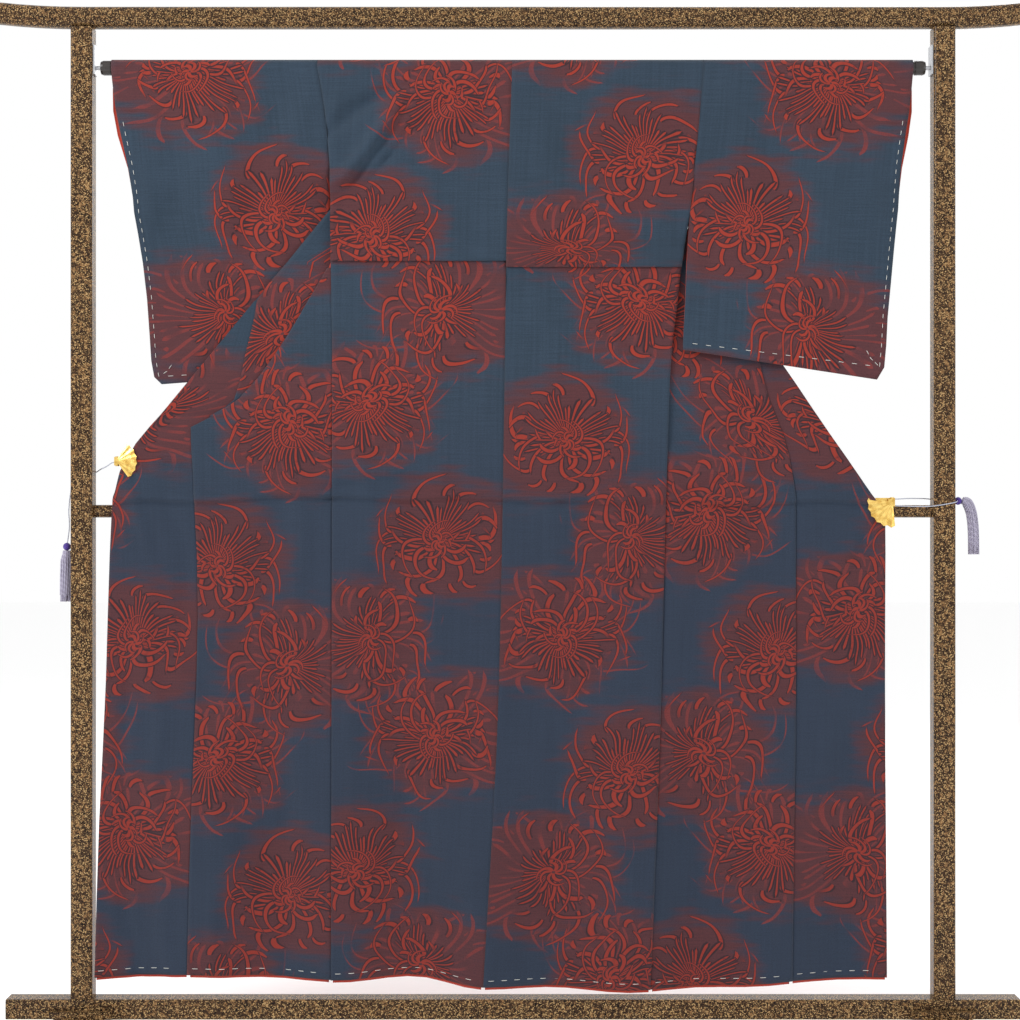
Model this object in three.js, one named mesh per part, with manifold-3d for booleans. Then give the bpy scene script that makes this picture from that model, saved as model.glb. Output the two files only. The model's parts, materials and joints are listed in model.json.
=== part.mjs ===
// A woman's kimono hung by its shoulders on the rod of a lacquered kimono stand, seen from its back,
// with both fronts opened outwards and held by a clip on a cord at each post.
//
// Millimetres. +Z is up. The kimono's back faces -Y, the viewer's right is +X.
// The origin is on the floor under the middle of the stand.
//
// "out" is a distance from the middle plane x = 0, to the left or to the right.
// "down" is a distance below the rod's centre line.
import * as THREE from 'three';
import { mergeVertices } from 'three/addons/utils/BufferGeometryUtils.js';
import Module from 'manifold-3d';

const wasm = await Module();
wasm.setup();

// Clearances and cloth
const GAP = 0.3; // between neighbouring solids
const WALL = 1.6; // the cloth with its lining
const HALF = WALL / 2;
const LAP = WALL + GAP; // depth from one sewn layer to the next
const FOLD_PITCH = 3.6; // depth from layer to layer in a loose fold
const FOLD_RADIUS = FOLD_PITCH / 2;
const SEAM_LAP = 2; // how far a lapped edge runs behind its neighbour
const SIDE_LAP = 2.5; // depth from the back to the front at the side seam

// The stand
const POST_OUT = 709;
const POST_SIZE = 36;
const BEAM_LOW = 30; // height of the bottom beam's underside
const BEAM_HEIGHT = 33;
const BEAM_DEPTH = 40;
const BEAM_REACH = 832;
const TOP_LOW = 1660; // height of the top beam's underside
const TOP_HEIGHT = 35;
const TOP_DEPTH = 34;
const TOP_REACH = 884;
const TOP_LIFT = 12; // how far the top beam's ends sweep up
const BAR_HEIGHT = 864;
const BAR_RADIUS = 10.5;
const BAR_BACK = 5; // the middle bar's centre is this far behind the rod's
const FOOT_LENGTH = 400;
const FOOT_WIDTH = 64;
const CHEEK_WIDTH = 104;
const CHEEK_TOP = 46;
const CHEEK_THICK = 13;

// The rod
const ROD_HEIGHT = 1595;
const ROD_RADIUS = 10.5;
const ROD_HALF = 662;
const CAP_LENGTH = 17;
const CAP_RADIUS = 12;
const PIN_RADIUS = 3.5;
const PIN_DEEP = 8; // how far the pin enters the cap
const BORE_DEEP = 9;
const PLATE_THICK = 3;
const PLATE_HALF = 11;
const PLATE_BELOW = 12; // the plate's ends below and above the rod's centre line
const PLATE_ABOVE = 36;
const LINING_WALL = 1;
const ROD_SLACK = 0.3; // room for the flat steps of the cloth over the round rod
const CLOTH_RADIUS = ROD_RADIUS + LINING_WALL + 2 * GAP + ROD_SLACK + HALF; // the cloth's middle there

// The kimono's cut and hang
const NECK_OUT = 105.6; // half of the neck's width
const NECK_TOP = 6; // the front edges' straight lines meet the rod's top here, above its centre line
const HEM_DOWN = 1500;
const COLLAR_WIDTH = 55;
const COLLAR_WALL = 2; // the collar is folded double
const COLLAR_PITCH = HALF + 1.4 + COLLAR_WALL / 2; // from the middle of the front to the collar's
const TUCK_RISE = 20; // height of the cloth taken up in the back tuck, on each side of its fold
const TUCK_PITCH = 2.4;
const TUCK_EASE = 60; // the cloth below the tuck comes forward over this length
const HEM_BAND = 40;
const HEM_SHOW = 2.5; // how much of the lining shows below the hem
const HEM_INSET = 3;
const HEM_BEHIND = 1.9; // depth from the panel to the strip behind it, where the waves slope most
const MOUTH_BAND = 42;

const COLOUR = {
  cloth: [0x47506a, 0.78, 0],
  lining: [0xc43a14, 0.6, 0],
  lacquer: [0x5a4030, 0.25, 0.1],
  rod: [0x3a3634, 0.35, 0.3],
  gold: [0xd9a63a, 0.3, 1],
  steel: [0xb8bcc2, 0.3, 1],
  cord: [0xb9b4c0, 0.8, 0],
  knot: [0x4a3590, 0.7, 0],
  skirt: [0x9a90ac, 0.8, 0],
};

const group = new THREE.Group();

function add(name, geometry, look) {
  const [color, roughness, metalness] = COLOUR[look];
  const mesh = new THREE.Mesh(geometry, new THREE.MeshStandardMaterial({ color, roughness, metalness }));
  mesh.name = name;
  group.add(mesh);
  return mesh;
}

// Numbers

const mix = (a, b, t) => a + (b - a) * t;
const clamp = (t) => Math.min(1, Math.max(0, t));
const smooth = (a, b, v) => {
  const t = clamp((v - a) / (b - a));
  return t * t * (3 - 2 * t);
};

// A column of a table as a function of its first column, without overshoot between the rows.
function column(table, index) {
  const x = table.map((row) => row[0]);
  const y = table.map((row) => row[index]);
  const slope = x.slice(1).map((v, i) => (y[i + 1] - y[i]) / (v - x[i]));
  const tangent = y.map((_, i) => {
    if (i === 0) return slope[0];
    if (i === y.length - 1) return slope[slope.length - 1];
    const [a, b] = [slope[i - 1], slope[i]];
    return a * b <= 0 ? 0 : (2 * a * b) / (a + b);
  });
  return (at) => {
    if (at <= x[0]) return y[0];
    if (at >= x[x.length - 1]) return y[y.length - 1];
    const i = x.findIndex((v) => v > at) - 1;
    const h = x[i + 1] - x[i];
    const t = (at - x[i]) / h;
    const [t2, t3] = [t * t, t * t * t];
    return (2 * t3 - 3 * t2 + 1) * y[i] + (t3 - 2 * t2 + t) * h * tangent[i]
      + (3 * t2 - 2 * t3) * y[i + 1] + (t3 - t2) * h * tangent[i + 1];
  };
}

// Solids

// A closed solid of even wall from a grid of points on the middle of the cloth. A cell is left out
// where it lacks a point or "cut" names it, and the rim runs round what is left.
function clothSolid(grid, wall, cut = () => false) {
  const rows = grid.length;
  const cols = grid[0].length;
  const normal = grid.map((row) => row.map(() => new THREE.Vector3()));
  const cells = [];
  for (let i = 0; i < rows - 1; i++) {
    for (let j = 0; j < cols - 1; j++) {
      const corner = [[i, j], [i, j + 1], [i + 1, j + 1], [i + 1, j]];
      if (cut(i, j) || corner.some(([r, s]) => !grid[r][s])) continue;
      cells.push(corner);
      const [a, b, c, d] = corner.map(([r, s]) => grid[r][s]);
      const across = new THREE.Vector3().subVectors(c, a);
      const face = across.cross(new THREE.Vector3().subVectors(d, b)).normalize();
      for (const [r, s] of corner) normal[r][s].add(face);
    }
  }
  const position = [];
  const index = [];
  const number = (r, s, side) => 2 * (r * cols + s) + side;
  grid.forEach((row, r) => row.forEach((point, s) => {
    if (!point) {
      position.push(0, 0, 0, 0, 0, 0);
      return;
    }
    const n = normal[r][s].clone().normalize().multiplyScalar(wall / 2);
    position.push(point.x + n.x, point.y + n.y, point.z + n.z);
    position.push(point.x - n.x, point.y - n.y, point.z - n.z);
  }));
  const quad = (a, b, c, d) => index.push(a, b, c, a, c, d);
  const open = new Map();
  for (const corner of cells) {
    const top = corner.map(([r, s]) => number(r, s, 0));
    const under = corner.map(([r, s]) => number(r, s, 1));
    quad(...top);
    quad(under[0], under[3], under[2], under[1]);
    for (let k = 0; k < 4; k++) {
      const [from, to] = [top[k], top[(k + 1) % 4]];
      if (open.has(`${to},${from}`)) open.delete(`${to},${from}`);
      else open.set(`${from},${to}`, [from, to]);
    }
  }
  for (const [from, to] of open.values()) quad(to, from, from + 1, to + 1);
  return packed(position, index);
}

// Only the points that the faces use.
function packed(position, index) {
  const kept = new Map();
  const points = [];
  const faces = index.map((v) => {
    if (!kept.has(v)) {
      kept.set(v, points.length / 3);
      points.push(position[3 * v], position[3 * v + 1], position[3 * v + 2]);
    }
    return kept.get(v);
  });
  const geometry = new THREE.BufferGeometry();
  geometry.setAttribute('position', new THREE.Float32BufferAttribute(points, 3));
  geometry.setIndex(faces);
  return geometry;
}

function solid(geometry) {
  const bare = geometry.clone();
  bare.deleteAttribute('normal');
  bare.deleteAttribute('uv');
  const merged = mergeVertices(bare, 1e-4);
  const points = new Float32Array(merged.attributes.position.array);
  const triVerts = new Uint32Array(merged.index.array);
  return new wasm.Manifold(new wasm.Mesh({ numProp: 3, vertProperties: points, triVerts }));
}

function geometryOf(manifold) {
  const mesh = manifold.getMesh();
  return packed(Array.from(mesh.vertProperties), Array.from(mesh.triVerts));
}

function joined(...geometries) {
  return geometryOf(geometries.map(solid).reduce((a, b) => a.add(b)));
}

function box(x0, x1, y0, y1, z0, z1) {
  const geometry = new THREE.BoxGeometry(x1 - x0, y1 - y0, z1 - z0);
  return geometry.translate((x0 + x1) / 2, (y0 + y1) / 2, (z0 + z1) / 2);
}

// A square bar with rounded edges along X, swept up at both ends by "lift".
function roundedBar(reach, depth, height, radius, steps, lift = 0) {
  const shape = new THREE.Shape();
  const [w, h] = [depth / 2 - radius, height / 2 - radius];
  shape.absarc(w, h, radius, 0, Math.PI / 2);
  shape.absarc(-w, h, radius, Math.PI / 2, Math.PI);
  shape.absarc(-w, -h, radius, Math.PI, 1.5 * Math.PI);
  shape.absarc(w, -h, radius, 1.5 * Math.PI, 2 * Math.PI);
  const bar = new THREE.ExtrudeGeometry(shape, {
    depth: 2 * reach, steps, bevelEnabled: false, curveSegments: 3,
  });
  bar.translate(0, 0, -reach);
  bar.rotateX(Math.PI / 2);
  bar.rotateZ(Math.PI / 2);
  const at = bar.attributes.position;
  for (let i = 0; i < at.count; i++) {
    // The first step on each side of the middle reaches the post, and the others share the rest.
    const step = Math.abs(at.getX(i)) / reach * (steps / 2);
    const share = clamp((step - 1) / (steps / 2 - 1));
    if (steps > 1) at.setX(i, Math.sign(at.getX(i)) * mix(Math.min(step, 1) * POST_OUT, reach, share));
    at.setZ(i, at.getZ(i) + lift * share * share);
  }
  return bar;
}

// A tube along a hand-chosen route.
function tube(points, radius, sides, steps) {
  const curve = new THREE.CatmullRomCurve3(points.map((p) => new THREE.Vector3(...p)), false, 'centripetal');
  const section = new THREE.Shape();
  for (let i = 0; i < sides; i++) {
    const angle = (2 * Math.PI * i) / sides;
    const [x, y] = [radius * Math.cos(angle), radius * Math.sin(angle)];
    if (i === 0) section.moveTo(x, y);
    else section.lineTo(x, y);
  }
  section.closePath();
  return new THREE.ExtrudeGeometry(section, { extrudePath: curve, steps, bevelEnabled: false });
}

// The kimono's lines, as tables of real sizes

// The centre back seam leans to the left on its way down.
const seamX = column([
  // down, x
  [0, -1.6],
  [324, -11.5],
  [449, -13],
  [1009, -23],
  [1514, -49.5],
], 1);

// Depth of the back panels, before the waves of the lower part
const backDepth = column([
  // down, y
  [0, -CLOTH_RADIUS],
  [232, -13.5],
  [357, -14.4],
  [478, -16.5],
  [600, -19],
  [712, -21],
  [1042, -22],
  [1500, -25],
], 1);

// The hem's height along the stand
const hemDown = column([
  // x, down
  [-690, 1496],
  [-533, 1489],
  [-297, 1496],
  [-165, 1491],
  [-50, 1507],
  [65, 1509],
  [224, 1513],
  [457, 1500],
  [612, 1494],
], 1);

// Each side's own lines. "side" is the side edge, "outer_fold" and "inner_fold" are the two turns
// of the front's loose fold, "seam" is the front body cloth's other edge: the collar line down to
// the okumi's tip, then the okumi seam. "front_y" is the depth of the layer that starts at the side.
const SIDES = {
  left: {
    way: -1,
    tuck: 319,
    edgeSlope: 0.821,
    tip: 384,
    rows: [
      // down, side, outer_fold, inner_fold, seam, front_y
      [0, 321.8, 322, NECK_OUT, NECK_OUT, CLOTH_RADIUS],
      [68, 310, 311, 130, 166.6, 10],
      [134, 303.6, 305, 152, 221, 8],
      [184, 300.3, 302, 169, 261, 1],
      [232, 300.3, 302, 185, 300.6, -4.5],
      [283, 300.3, 302, 206, 342.7, -4.6],
      [320, 300, 303, 232.6, 372.5, -4],
      [331, 299.8, 306, 241, 382, -7.4],
      [357, 299, 320, 262, 403.6, -8.2],
      [377, 298.6, 332, 277, 420, -10],
      [410, 298, 351, 298.7, 425.7, -12.6],
      [471, 297, 389, 345.7, 440.5, -14.4],
      [547, 297, 450.5, 415.8, 458.7, -15.9],
      [575, 297, 497.5, 483.5, 500.8, -16.5],
      [593, 297, 529, 529, 529, -16.9],
      [712, 297, 523, 523, 523, -19.1],
      [877, 297, 516.5, 516.5, 516.5, -19.6],
      [1042, 297, 520, 520, 520, -20.1],
      [1273, 297, 528, 528, 528, -21.6],
      [1500, 297, 533, 533, 533, -23.1],
    ],
    sideSeam: [329, 331], // the loose front comes to the side seam between these heights
    pleatTop: 331, // the visible pleat comes out of the side seam here
    foldEnd: 576, // and runs off at the okumi seam
    innerCols: 2, // columns across the inner layer
    lowEdge: [
      // down, out: the front edge from the clip to the hem
      [630, 628],
      [649, 640],
      [695, 652],
      [712, 657],
      [811, 662],
      [1009, 668],
      [1273, 680],
      [1500, 686],
    ],
    frontLines: [34, 68, 110, 160, 205, 245, 283, 305, 320, 331, 357, 384, 410, 440, 471, 510, 547, 560,
      575, 593, 620, 665],
    collarEnd: 664,
  },
  right: {
    way: 1,
    tuck: 329,
    edgeSlope: 0.681,
    tip: 428,
    rows: [
      // down, side, outer_fold, inner_fold, seam, front_y
      [0, 313.5, 314, NECK_OUT, NECK_OUT, CLOTH_RADIUS],
      [68, 307.7, 308, 125, 156, 11.5],
      [134, 302, 303, 142.6, 201, 11],
      [184, 296, 297, 155.6, 234.7, 10.5],
      [232, 292, 293, 168, 267.5, 9],
      [265, 287, 288, 175.7, 290, 7],
      [300, 281, 282, 184, 314, 2],
      [329, 277, 278, 192, 334, -4],
      [345, 275, 276, 196, 345, -6.6],
      [382, 271, 272, 205, 369.6, -11.7],
      [421, 266, 267, 214.7, 394, -13.3],
      [478, 259, 260, 218, 404, -14.6],
      [547, 256.6, 257, 226, 420.8, -15.9],
      [610, 254, 255, 238, 445.5, -17.3],
      [680, 252, 253, 250, 460, -18.6],
      [712, 250.8, 251, 251, 463.7, -19.1],
      [1042, 242.5, 243, 243, 463.7, -20.1],
      [1273, 234, 235, 235, 460, -21.6],
      [1500, 224.4, 225, 225, 457, -23.1],
    ],
    sideSeam: [349, 395],
    pleatTop: Infinity, // this front has no visible pleat
    foldEnd: 611, // the hidden fold runs off at the side seam
    innerCols: 6,
    lowEdge: [
      [700, 586.4],
      [712, 594.6],
      [728, 610],
      [745, 613],
      [804, 611],
      [1042, 610],
      [1273, 611],
      [1500, 612],
    ],
    frontLines: [34, 68, 110, 160, 205, 245, 265, 283, 310, 329, 350, 382, 428, 450, 478, 512, 547,
      580, 610, 645, 680],
    collarEnd: 708,
  },
};

// Where rows of cloth lie, as distances down: those of the lower part are shared by every panel
const BACK_LINES = [34, 68, 110, 160, 205, 245, 283, 357, 390, 450, 512, 580, 645];
const NECK_CUT = 12; // the front's inner layer starts at this one
const LOW_LINES = [712, 800, 900, 1010, 1125, 1245, 1365, HEM_DOWN - HEM_BAND, HEM_DOWN];

for (const side of Object.values(SIDES)) {
  side.side = column(side.rows, 1);
  side.outer = column(side.rows, 2);
  side.inner = column(side.rows, 3);
  side.seam = column(side.rows, 4);
  const loose = column(side.rows, 5);
  side.low = column(side.lowEdge, 1);
  // The front edge: a straight line from the neck to the clip, then the table's curve to the hem.
  side.edge = (down) => {
    const taut = NECK_OUT + side.edgeSlope * (down + NECK_TOP);
    return down < side.lowEdge[0][0] ? taut : side.low(down);
  };
  // Below its tuck the back cloth starts two layers behind and comes forward again.
  side.backY = (down) => {
    const behind = down < side.tuck ? 0 : 2 * TUCK_PITCH * (1 - smooth(0, TUCK_EASE, down - side.tuck));
    return backDepth(down) + behind;
  };
  // The front hangs free of the back at first, and lies just behind it along the side seam.
  side.frontY = (down) => (
    mix(loose(down), side.backY(down) + SIDE_LAP, smooth(...side.sideSeam, down)));
  side.rowLines = [NECK_CUT, ...side.frontLines, ...LOW_LINES];
}

// The soft waves of the lower part: forward at the seams, back between them.
function wave(x, down) {
  const grow = smooth(760, 1500, down);
  const outward = mix(1, 0.45, smooth(300, 690, Math.abs(x)));
  return -12 * grow * outward * Math.cos((2 * Math.PI * (x + 50)) / 232);
}

// A point of the kimono, with the waves and the hem's own height put in.
function placed(x, y, down) {
  const reach = down + (hemDown(x) - HEM_DOWN) * smooth(1000, HEM_DOWN, down);
  return new THREE.Vector3(x, y + wave(x, down), ROD_HEIGHT - reach);
}

// The red strip inside a panel's hem: the points of the panel's last two rows, moved behind it, with a
// little more length below the hem. Its ends stop short of the panel's.
function hemLining(name, upper, lower, inset) {
  const inside = (row) => {
    const last = row.length - 1;
    const ends = [[row[0], row[1]], [row[last], row[last - 1]]].map(([end, next]) => (
      end.clone().lerp(next, inset / end.distanceTo(next))));
    return [ends[0], ...row.slice(1, last), ends[1]].map((p) => p.clone().setY(p.y + HEM_BEHIND));
  };
  const [top, hem] = [inside(upper), inside(lower)];
  const below = hem.map((p, j) => p.clone().lerp(top[j], -HEM_SHOW / HEM_BAND));
  add(name, clothSolid([top, hem, below], LINING_WALL), 'lining');
}

// Body cloths: one sheet each, from the back hem over the rod to the front hem
//
// The front lies in up to three layers. The outer layer runs out from the side seam to the visible
// turn of the left front's pleat, the middle layer runs in from there, or from the side edge, to the
// hidden turn behind the back, and the inner layer runs out from that to the okumi seam. A layer and
// its turn start and end where the fold runs off an edge of the cloth.

const LAYER_COLS = 6; // columns across the outer and the middle layer
const TURN_COLS = 2; // columns round a turn
const NECK_COLS = 2; // columns of the back from the neck point to the centre seam
const ROD_STEPS = 6; // rows round the rod's upper half
const OUTER_LAYER = 0;
const MIDDLE_LAYER = LAYER_COLS + TURN_COLS;
const INNER_LAYER = MIDDLE_LAYER + LAYER_COLS + TURN_COLS;
const NECK_COLUMN = MIDDLE_LAYER + LAYER_COLS;

// How far a turn's columns spread across, more where its line runs aslant
function turnReach(line, down) {
  const slant = (line(down + 4) - line(down - 4)) / 8;
  return FOLD_RADIUS * Math.hypot(1, slant);
}

// The middle of the front body cloth's depth along its collar line and okumi seam
function seamDepth(side, down) {
  if (down > side.foldEnd) return side.frontY(down);
  return side.frontY(down) + FOLD_PITCH * (down >= side.pleatTop ? 2 : 1);
}

function frontRow(side, down) {
  const row = Array(INNER_LAYER + side.innerCols + 1).fill(null);
  const put = (col, out, y) => { row[col] = placed(side.way * out, y, down); };
  const layer = (col, count, from, to, y) => {
    for (let k = 0; k <= count; k++) put(col + k, mix(from, to, k / count), y);
  };
  const start = side.side(down) - SEAM_LAP * smooth(side.tuck, side.tuck + 20, down);
  const [outer, inner, seam] = [side.outer(down), side.inner(down), side.seam(down)];
  const [outerReach, innerReach] = [turnReach(side.outer, down), turnReach(side.inner, down)];
  const y = side.frontY(down);
  const pleated = down >= side.pleatTop;
  if (down > side.foldEnd) {
    if (pleated) layer(OUTER_LAYER, LAYER_COLS, start, seam, y);
    else layer(INNER_LAYER, side.innerCols, start, seam, y);
    return row;
  }
  const middle = pleated ? y + FOLD_PITCH : y;
  const from = pleated ? outer - outerReach : start;
  if (pleated) {
    layer(OUTER_LAYER, LAYER_COLS, start, from, y);
    put(MIDDLE_LAYER - 1, outer, y + FOLD_RADIUS);
  }
  layer(MIDDLE_LAYER, LAYER_COLS, from, inner + innerReach, middle);
  put(INNER_LAYER - 1, inner, middle + FOLD_RADIUS);
  layer(INNER_LAYER, side.innerCols, inner + innerReach, seam, middle + FOLD_PITCH);
  return row;
}

function backRow(side, down, y) {
  const row = Array(INNER_LAYER + side.innerCols + 1).fill(null);
  const centre = seamX(down) + side.way * (GAP / 2);
  const edge = side.way * side.side(down);
  const even = mix(centre, edge, NECK_COLS / (NECK_COLS + LAYER_COLS));
  const neck = mix(side.way * NECK_OUT, even, smooth(60, 300, down));
  for (let k = 0; k <= LAYER_COLS; k++) {
    row[MIDDLE_LAYER + k] = placed(mix(edge, neck, k / LAYER_COLS), y, down);
  }
  for (let k = 1; k <= NECK_COLS; k++) {
    row[NECK_COLUMN + k] = placed(mix(neck, centre, k / NECK_COLS), y, down);
  }
  return row;
}

function bodyGrid(side) {
  const back = [...BACK_LINES, ...LOW_LINES].reverse();
  const plain = (down) => backRow(side, down, side.backY(down));
  const rows = back.filter((down) => down > side.tuck).map(plain);
  // The tuck, from below: up behind, over, down in the middle layer and out at the fold.
  const y = backDepth(side.tuck);
  for (const [lower, layer] of [[TUCK_EASE / 3, 1.5], [2, 2], [-TUCK_RISE, 2], [-TUCK_RISE - 1.2, 1.5],
    [-TUCK_RISE, 1], [-1.2, 1], [0.4, 0.5], [-1, 0]]) {
    rows.push(backRow(side, side.tuck + lower, y + layer * TUCK_PITCH));
  }
  rows.push(...back.filter((down) => down < side.tuck).map(plain));
  for (let k = 0; k <= ROD_STEPS; k++) {
    const angle = Math.PI * (1 - k / ROD_STEPS);
    rows.push(backRow(side, 0, 0).map((p) => p && new THREE.Vector3(
      p.x, CLOTH_RADIUS * Math.cos(angle), ROD_HEIGHT + CLOTH_RADIUS * Math.sin(angle))));
  }
  const neckRow = rows.length - 1;
  rows.push(...side.rowLines.map((down) => frontRow(side, down)));
  return { rows, neckRow };
}

for (const [name, side] of Object.entries(SIDES)) {
  const { rows, neckRow } = bodyGrid(side);
  add(`body_${name}`, clothSolid(rows, WALL, (i, j) => i === neckRow && j >= NECK_COLUMN), 'cloth');
  const filled = (row) => row.filter((point) => point);
  hemLining(`hem_lining_back_${name}`, filled(rows[1]), filled(rows[0]), HEM_INSET);
  hemLining(`hem_lining_front_${name}`, ...rows.slice(-2).map(filled), 2 * HEM_INSET);
}

// Okumi: the front overlap panels, from a tip at the collar line to the hem

const OKUMI_COLS = 4;

const okumiDepth = (side, down) => seamDepth(side, down) + LAP;

for (const [name, side] of Object.entries(SIDES)) {
  const downs = [side.tip, ...side.rowLines.filter((down) => down > side.tip + 12)];
  const rows = downs.map((down) => {
    const from = side.seam(down) - SEAM_LAP;
    const to = Math.max(side.edge(down), from + 5);
    const y = okumiDepth(side, down);
    return Array.from({ length: OKUMI_COLS + 1 }, (_, j) => (
      placed(side.way * mix(from, to, j / OKUMI_COLS), y, down)));
  });
  add(`okumi_${name}`, clothSolid(rows, WALL), 'cloth');
  hemLining(`hem_lining_okumi_${name}`, ...rows.slice(-2), HEM_INSET);
}

// Collar: a strip behind the front edges, round the neck on the far side of the rod. Its upper part is
// under the over-collar, and its two ends come out of that and run down to the clips.

const COLLAR_REACH = 30;
const OVER_COLLAR_END = 283; // the collar's own ends show below the over-collar from here on

// The front's depth at its edge: behind the body cloth, and lower down behind the okumi as well
const edgeDepth = (side, down) => seamDepth(side, down) + LAP * smooth(side.tip - 50, side.tip - 10, down);

// The collar lies behind the deepest that the front reaches between the rows round this height.
function collarDepth(side, down) {
  const near = side.rowLines.filter((line) => Math.abs(line - down) < COLLAR_REACH);
  return Math.max(...[down, ...near].map((line) => edgeDepth(side, line))) + COLLAR_PITCH;
}

function collarSection(side, down) {
  // The strip's width points down at the neck, and square to the front edge further on.
  const settle = smooth(0, 60, down);
  const angle = Math.atan(side.edgeSlope);
  const outward = side.edge(down) - 0.5;
  return [0, 0.5, 1].map((share) => {
    const across = COLLAR_WIDTH * share;
    const lower = down + across * mix(1, Math.sin(angle), settle);
    const out = outward - across * Math.cos(angle) * settle;
    return new THREE.Vector3(side.way * out, collarDepth(side, lower), ROD_HEIGHT - lower);
  });
}

const neckSections = [-0.66, -0.33, 0, 0.33, 0.66].map((share) => [0, 0.5, 1].map((t) => (
  new THREE.Vector3(share * NECK_OUT, CLOTH_RADIUS + COLLAR_PITCH, ROD_HEIGHT + 3 - COLLAR_WIDTH * t))));
const collarSections = (side, from, to) => (
  [from, ...side.frontLines.filter((down) => down > from + 10 && down < to - 15), to]
    .map((down) => collarSection(side, down)));
const overCollar = (side) => collarSections(side, side.frontLines[0], OVER_COLLAR_END - GAP / 2);
add('collar', clothSolid([
  ...overCollar(SIDES.left).reverse(),
  ...neckSections,
  ...overCollar(SIDES.right),
], COLLAR_WALL), 'cloth');
for (const [name, side] of Object.entries(SIDES)) {
  const sections = collarSections(side, OVER_COLLAR_END + GAP / 2, side.collarEnd);
  add(`collar_end_${name}`, clothSolid(sections, COLLAR_WALL), 'cloth');
}

// Sleeves: one cloth over the rod, sewn along the bottom and along the outer edge below the mouth

const SLEEVES = {
  left: {
    body: SIDES.left,
    rows: [
      // inner_down, outer_down, inner_in, outer, near_in, near_out, far_in, far_out, far_more
      [0, 0, 0, 661, -CLOTH_RADIUS, -CLOTH_RADIUS, CLOTH_RADIUS, CLOTH_RADIUS, 0],
      [68, 68, 0, 654, -13.4, -9, 10, 12, 8],
      [134, 134, 0, 641, -13.4, -4, 8, 10, 8],
      [172, 176, 0, 633, -13.4, 1.6, 3.4, 6.8, 0],
      [205, 212, 0, 628, -1, 3, 9, 4.9, 0],
      [228, 238, 0, 626, 7.4, 4.4, 12, 6.3, 0],
      [286, 297, 12, 615, 9.8, 5, 13.8, 6.9, 0],
      [390, 400, 24, 603, 9.8, 5, 13.4, 6.9, 0],
      [476, 492, 35, 597, 7, 5, 9, 6.9, 0],
      [490, 512, 37, 592, 6, 6, 7.9, 7.9, 0],
      [497, 521, 38, 581, 6, 6, 7.9, 7.9, 0],
    ],
    lines: [34, 68, 110, 160, 205, 228, 262, 310, 370, 430, 468, 488, 497],
    mouthRows: 4,
  },
  right: {
    body: SIDES.right,
    rows: [
      [0, 0, 0, 658, -CLOTH_RADIUS, -CLOTH_RADIUS, CLOTH_RADIUS, CLOTH_RADIUS, 0],
      [68, 70, 0, 652, -13.4, -10, 11.5, 11, 8],
      [134, 136, 0, 642, -13.4, -8, 11, 6, 8],
      [180, 184, 0, 637, -13.5, -5.4, 10.6, -2.4, 0],
      [222, 230, 0, 634, -13.6, -8, 9.4, -6.1, 0],
      [250, 266, 0, 630, -15, -9, 4, -7.1, 0],
      [292, 313, -4, 625, -19, -11, -7, -9.1, 0],
      [338, 364, -8, 620, -23, -13, -16.5, -11.1, 0],
      [398, 426, -12, 614, -27, -15, -22.5, -13.1, 0],
      [450, 484, -16, 611, -28, -17, -25.4, -15.1, 0],
      [459, 504, -17, 606, -28, -17.6, -26.1, -15.7, 0],
      [467, 515, -18, 597, -28, -18, -26.1, -16.1, 0],
    ],
    lines: [34, 68, 110, 160, 205, 225, 245, 283, 330, 385, 430, 455, 467],
    mouthRows: 4,
  },
};

const SLEEVE_COLS = 7;
const SLEEVE_PILLOW = 2.4; // how far each layer swells between its edges

for (const sleeve of Object.values(SLEEVES)) {
  const names = ['outerDown', 'innerIn', 'outer', 'nearIn', 'nearOut', 'farIn', 'farOut', 'farMore'];
  names.forEach((name, i) => { sleeve[name] = column(sleeve.rows, i + 1); });
  sleeve.length = sleeve.rows[sleeve.rows.length - 1][0];
}

// A point of a sleeve, "down" at its inner edge and a share u of the way to its outer edge
function sleevePoint(sleeve, down, u, far) {
  const inner = sleeve.body.side(down) + GAP - sleeve.innerIn(down);
  const outer = sleeve.outer(down) + (far ? sleeve.farMore(down) : 0);
  const [yIn, yOut] = far
    ? [sleeve.farIn(down), sleeve.farOut(down)]
    : [sleeve.nearIn(down), sleeve.nearOut(down)];
  const share = down / sleeve.length;
  const belly = 4 * u * (1 - u) * SLEEVE_PILLOW * smooth(0.06, 0.3, share) * (1 - smooth(0.8, 0.96, share));
  const y = mix(yIn, yOut, u) + (far ? belly : -belly);
  const lower = mix(down, sleeve.outerDown(down), u);
  return new THREE.Vector3(sleeve.body.way * mix(inner, outer, u), y, ROD_HEIGHT - lower);
}

function sleeveGrid(sleeve) {
  const across = Array.from({ length: SLEEVE_COLS + 1 }, (_, j) => j / SLEEVE_COLS);
  const layer = (far) => sleeve.lines.map((down) => across.map((u) => sleevePoint(sleeve, down, u, far)));
  const overRod = Array.from({ length: ROD_STEPS + 1 }, (_, k) => {
    const angle = Math.PI * (1 - k / ROD_STEPS);
    return across.map((u) => new THREE.Vector3(sleevePoint(sleeve, 0, u, true).x,
      CLOTH_RADIUS * Math.cos(angle), ROD_HEIGHT + CLOTH_RADIUS * Math.sin(angle)));
  });
  return [...layer(false).reverse(), ...overRod, ...layer(true)];
}

// The red strip inside a hand opening: the outer ends of the sleeve's own rows, moved in
const LINING_IN = HALF + GAP + LINING_WALL / 2;
const LINING_EDGE = 1.5; // the strip's edge lies this far inside the sleeve's

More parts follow.
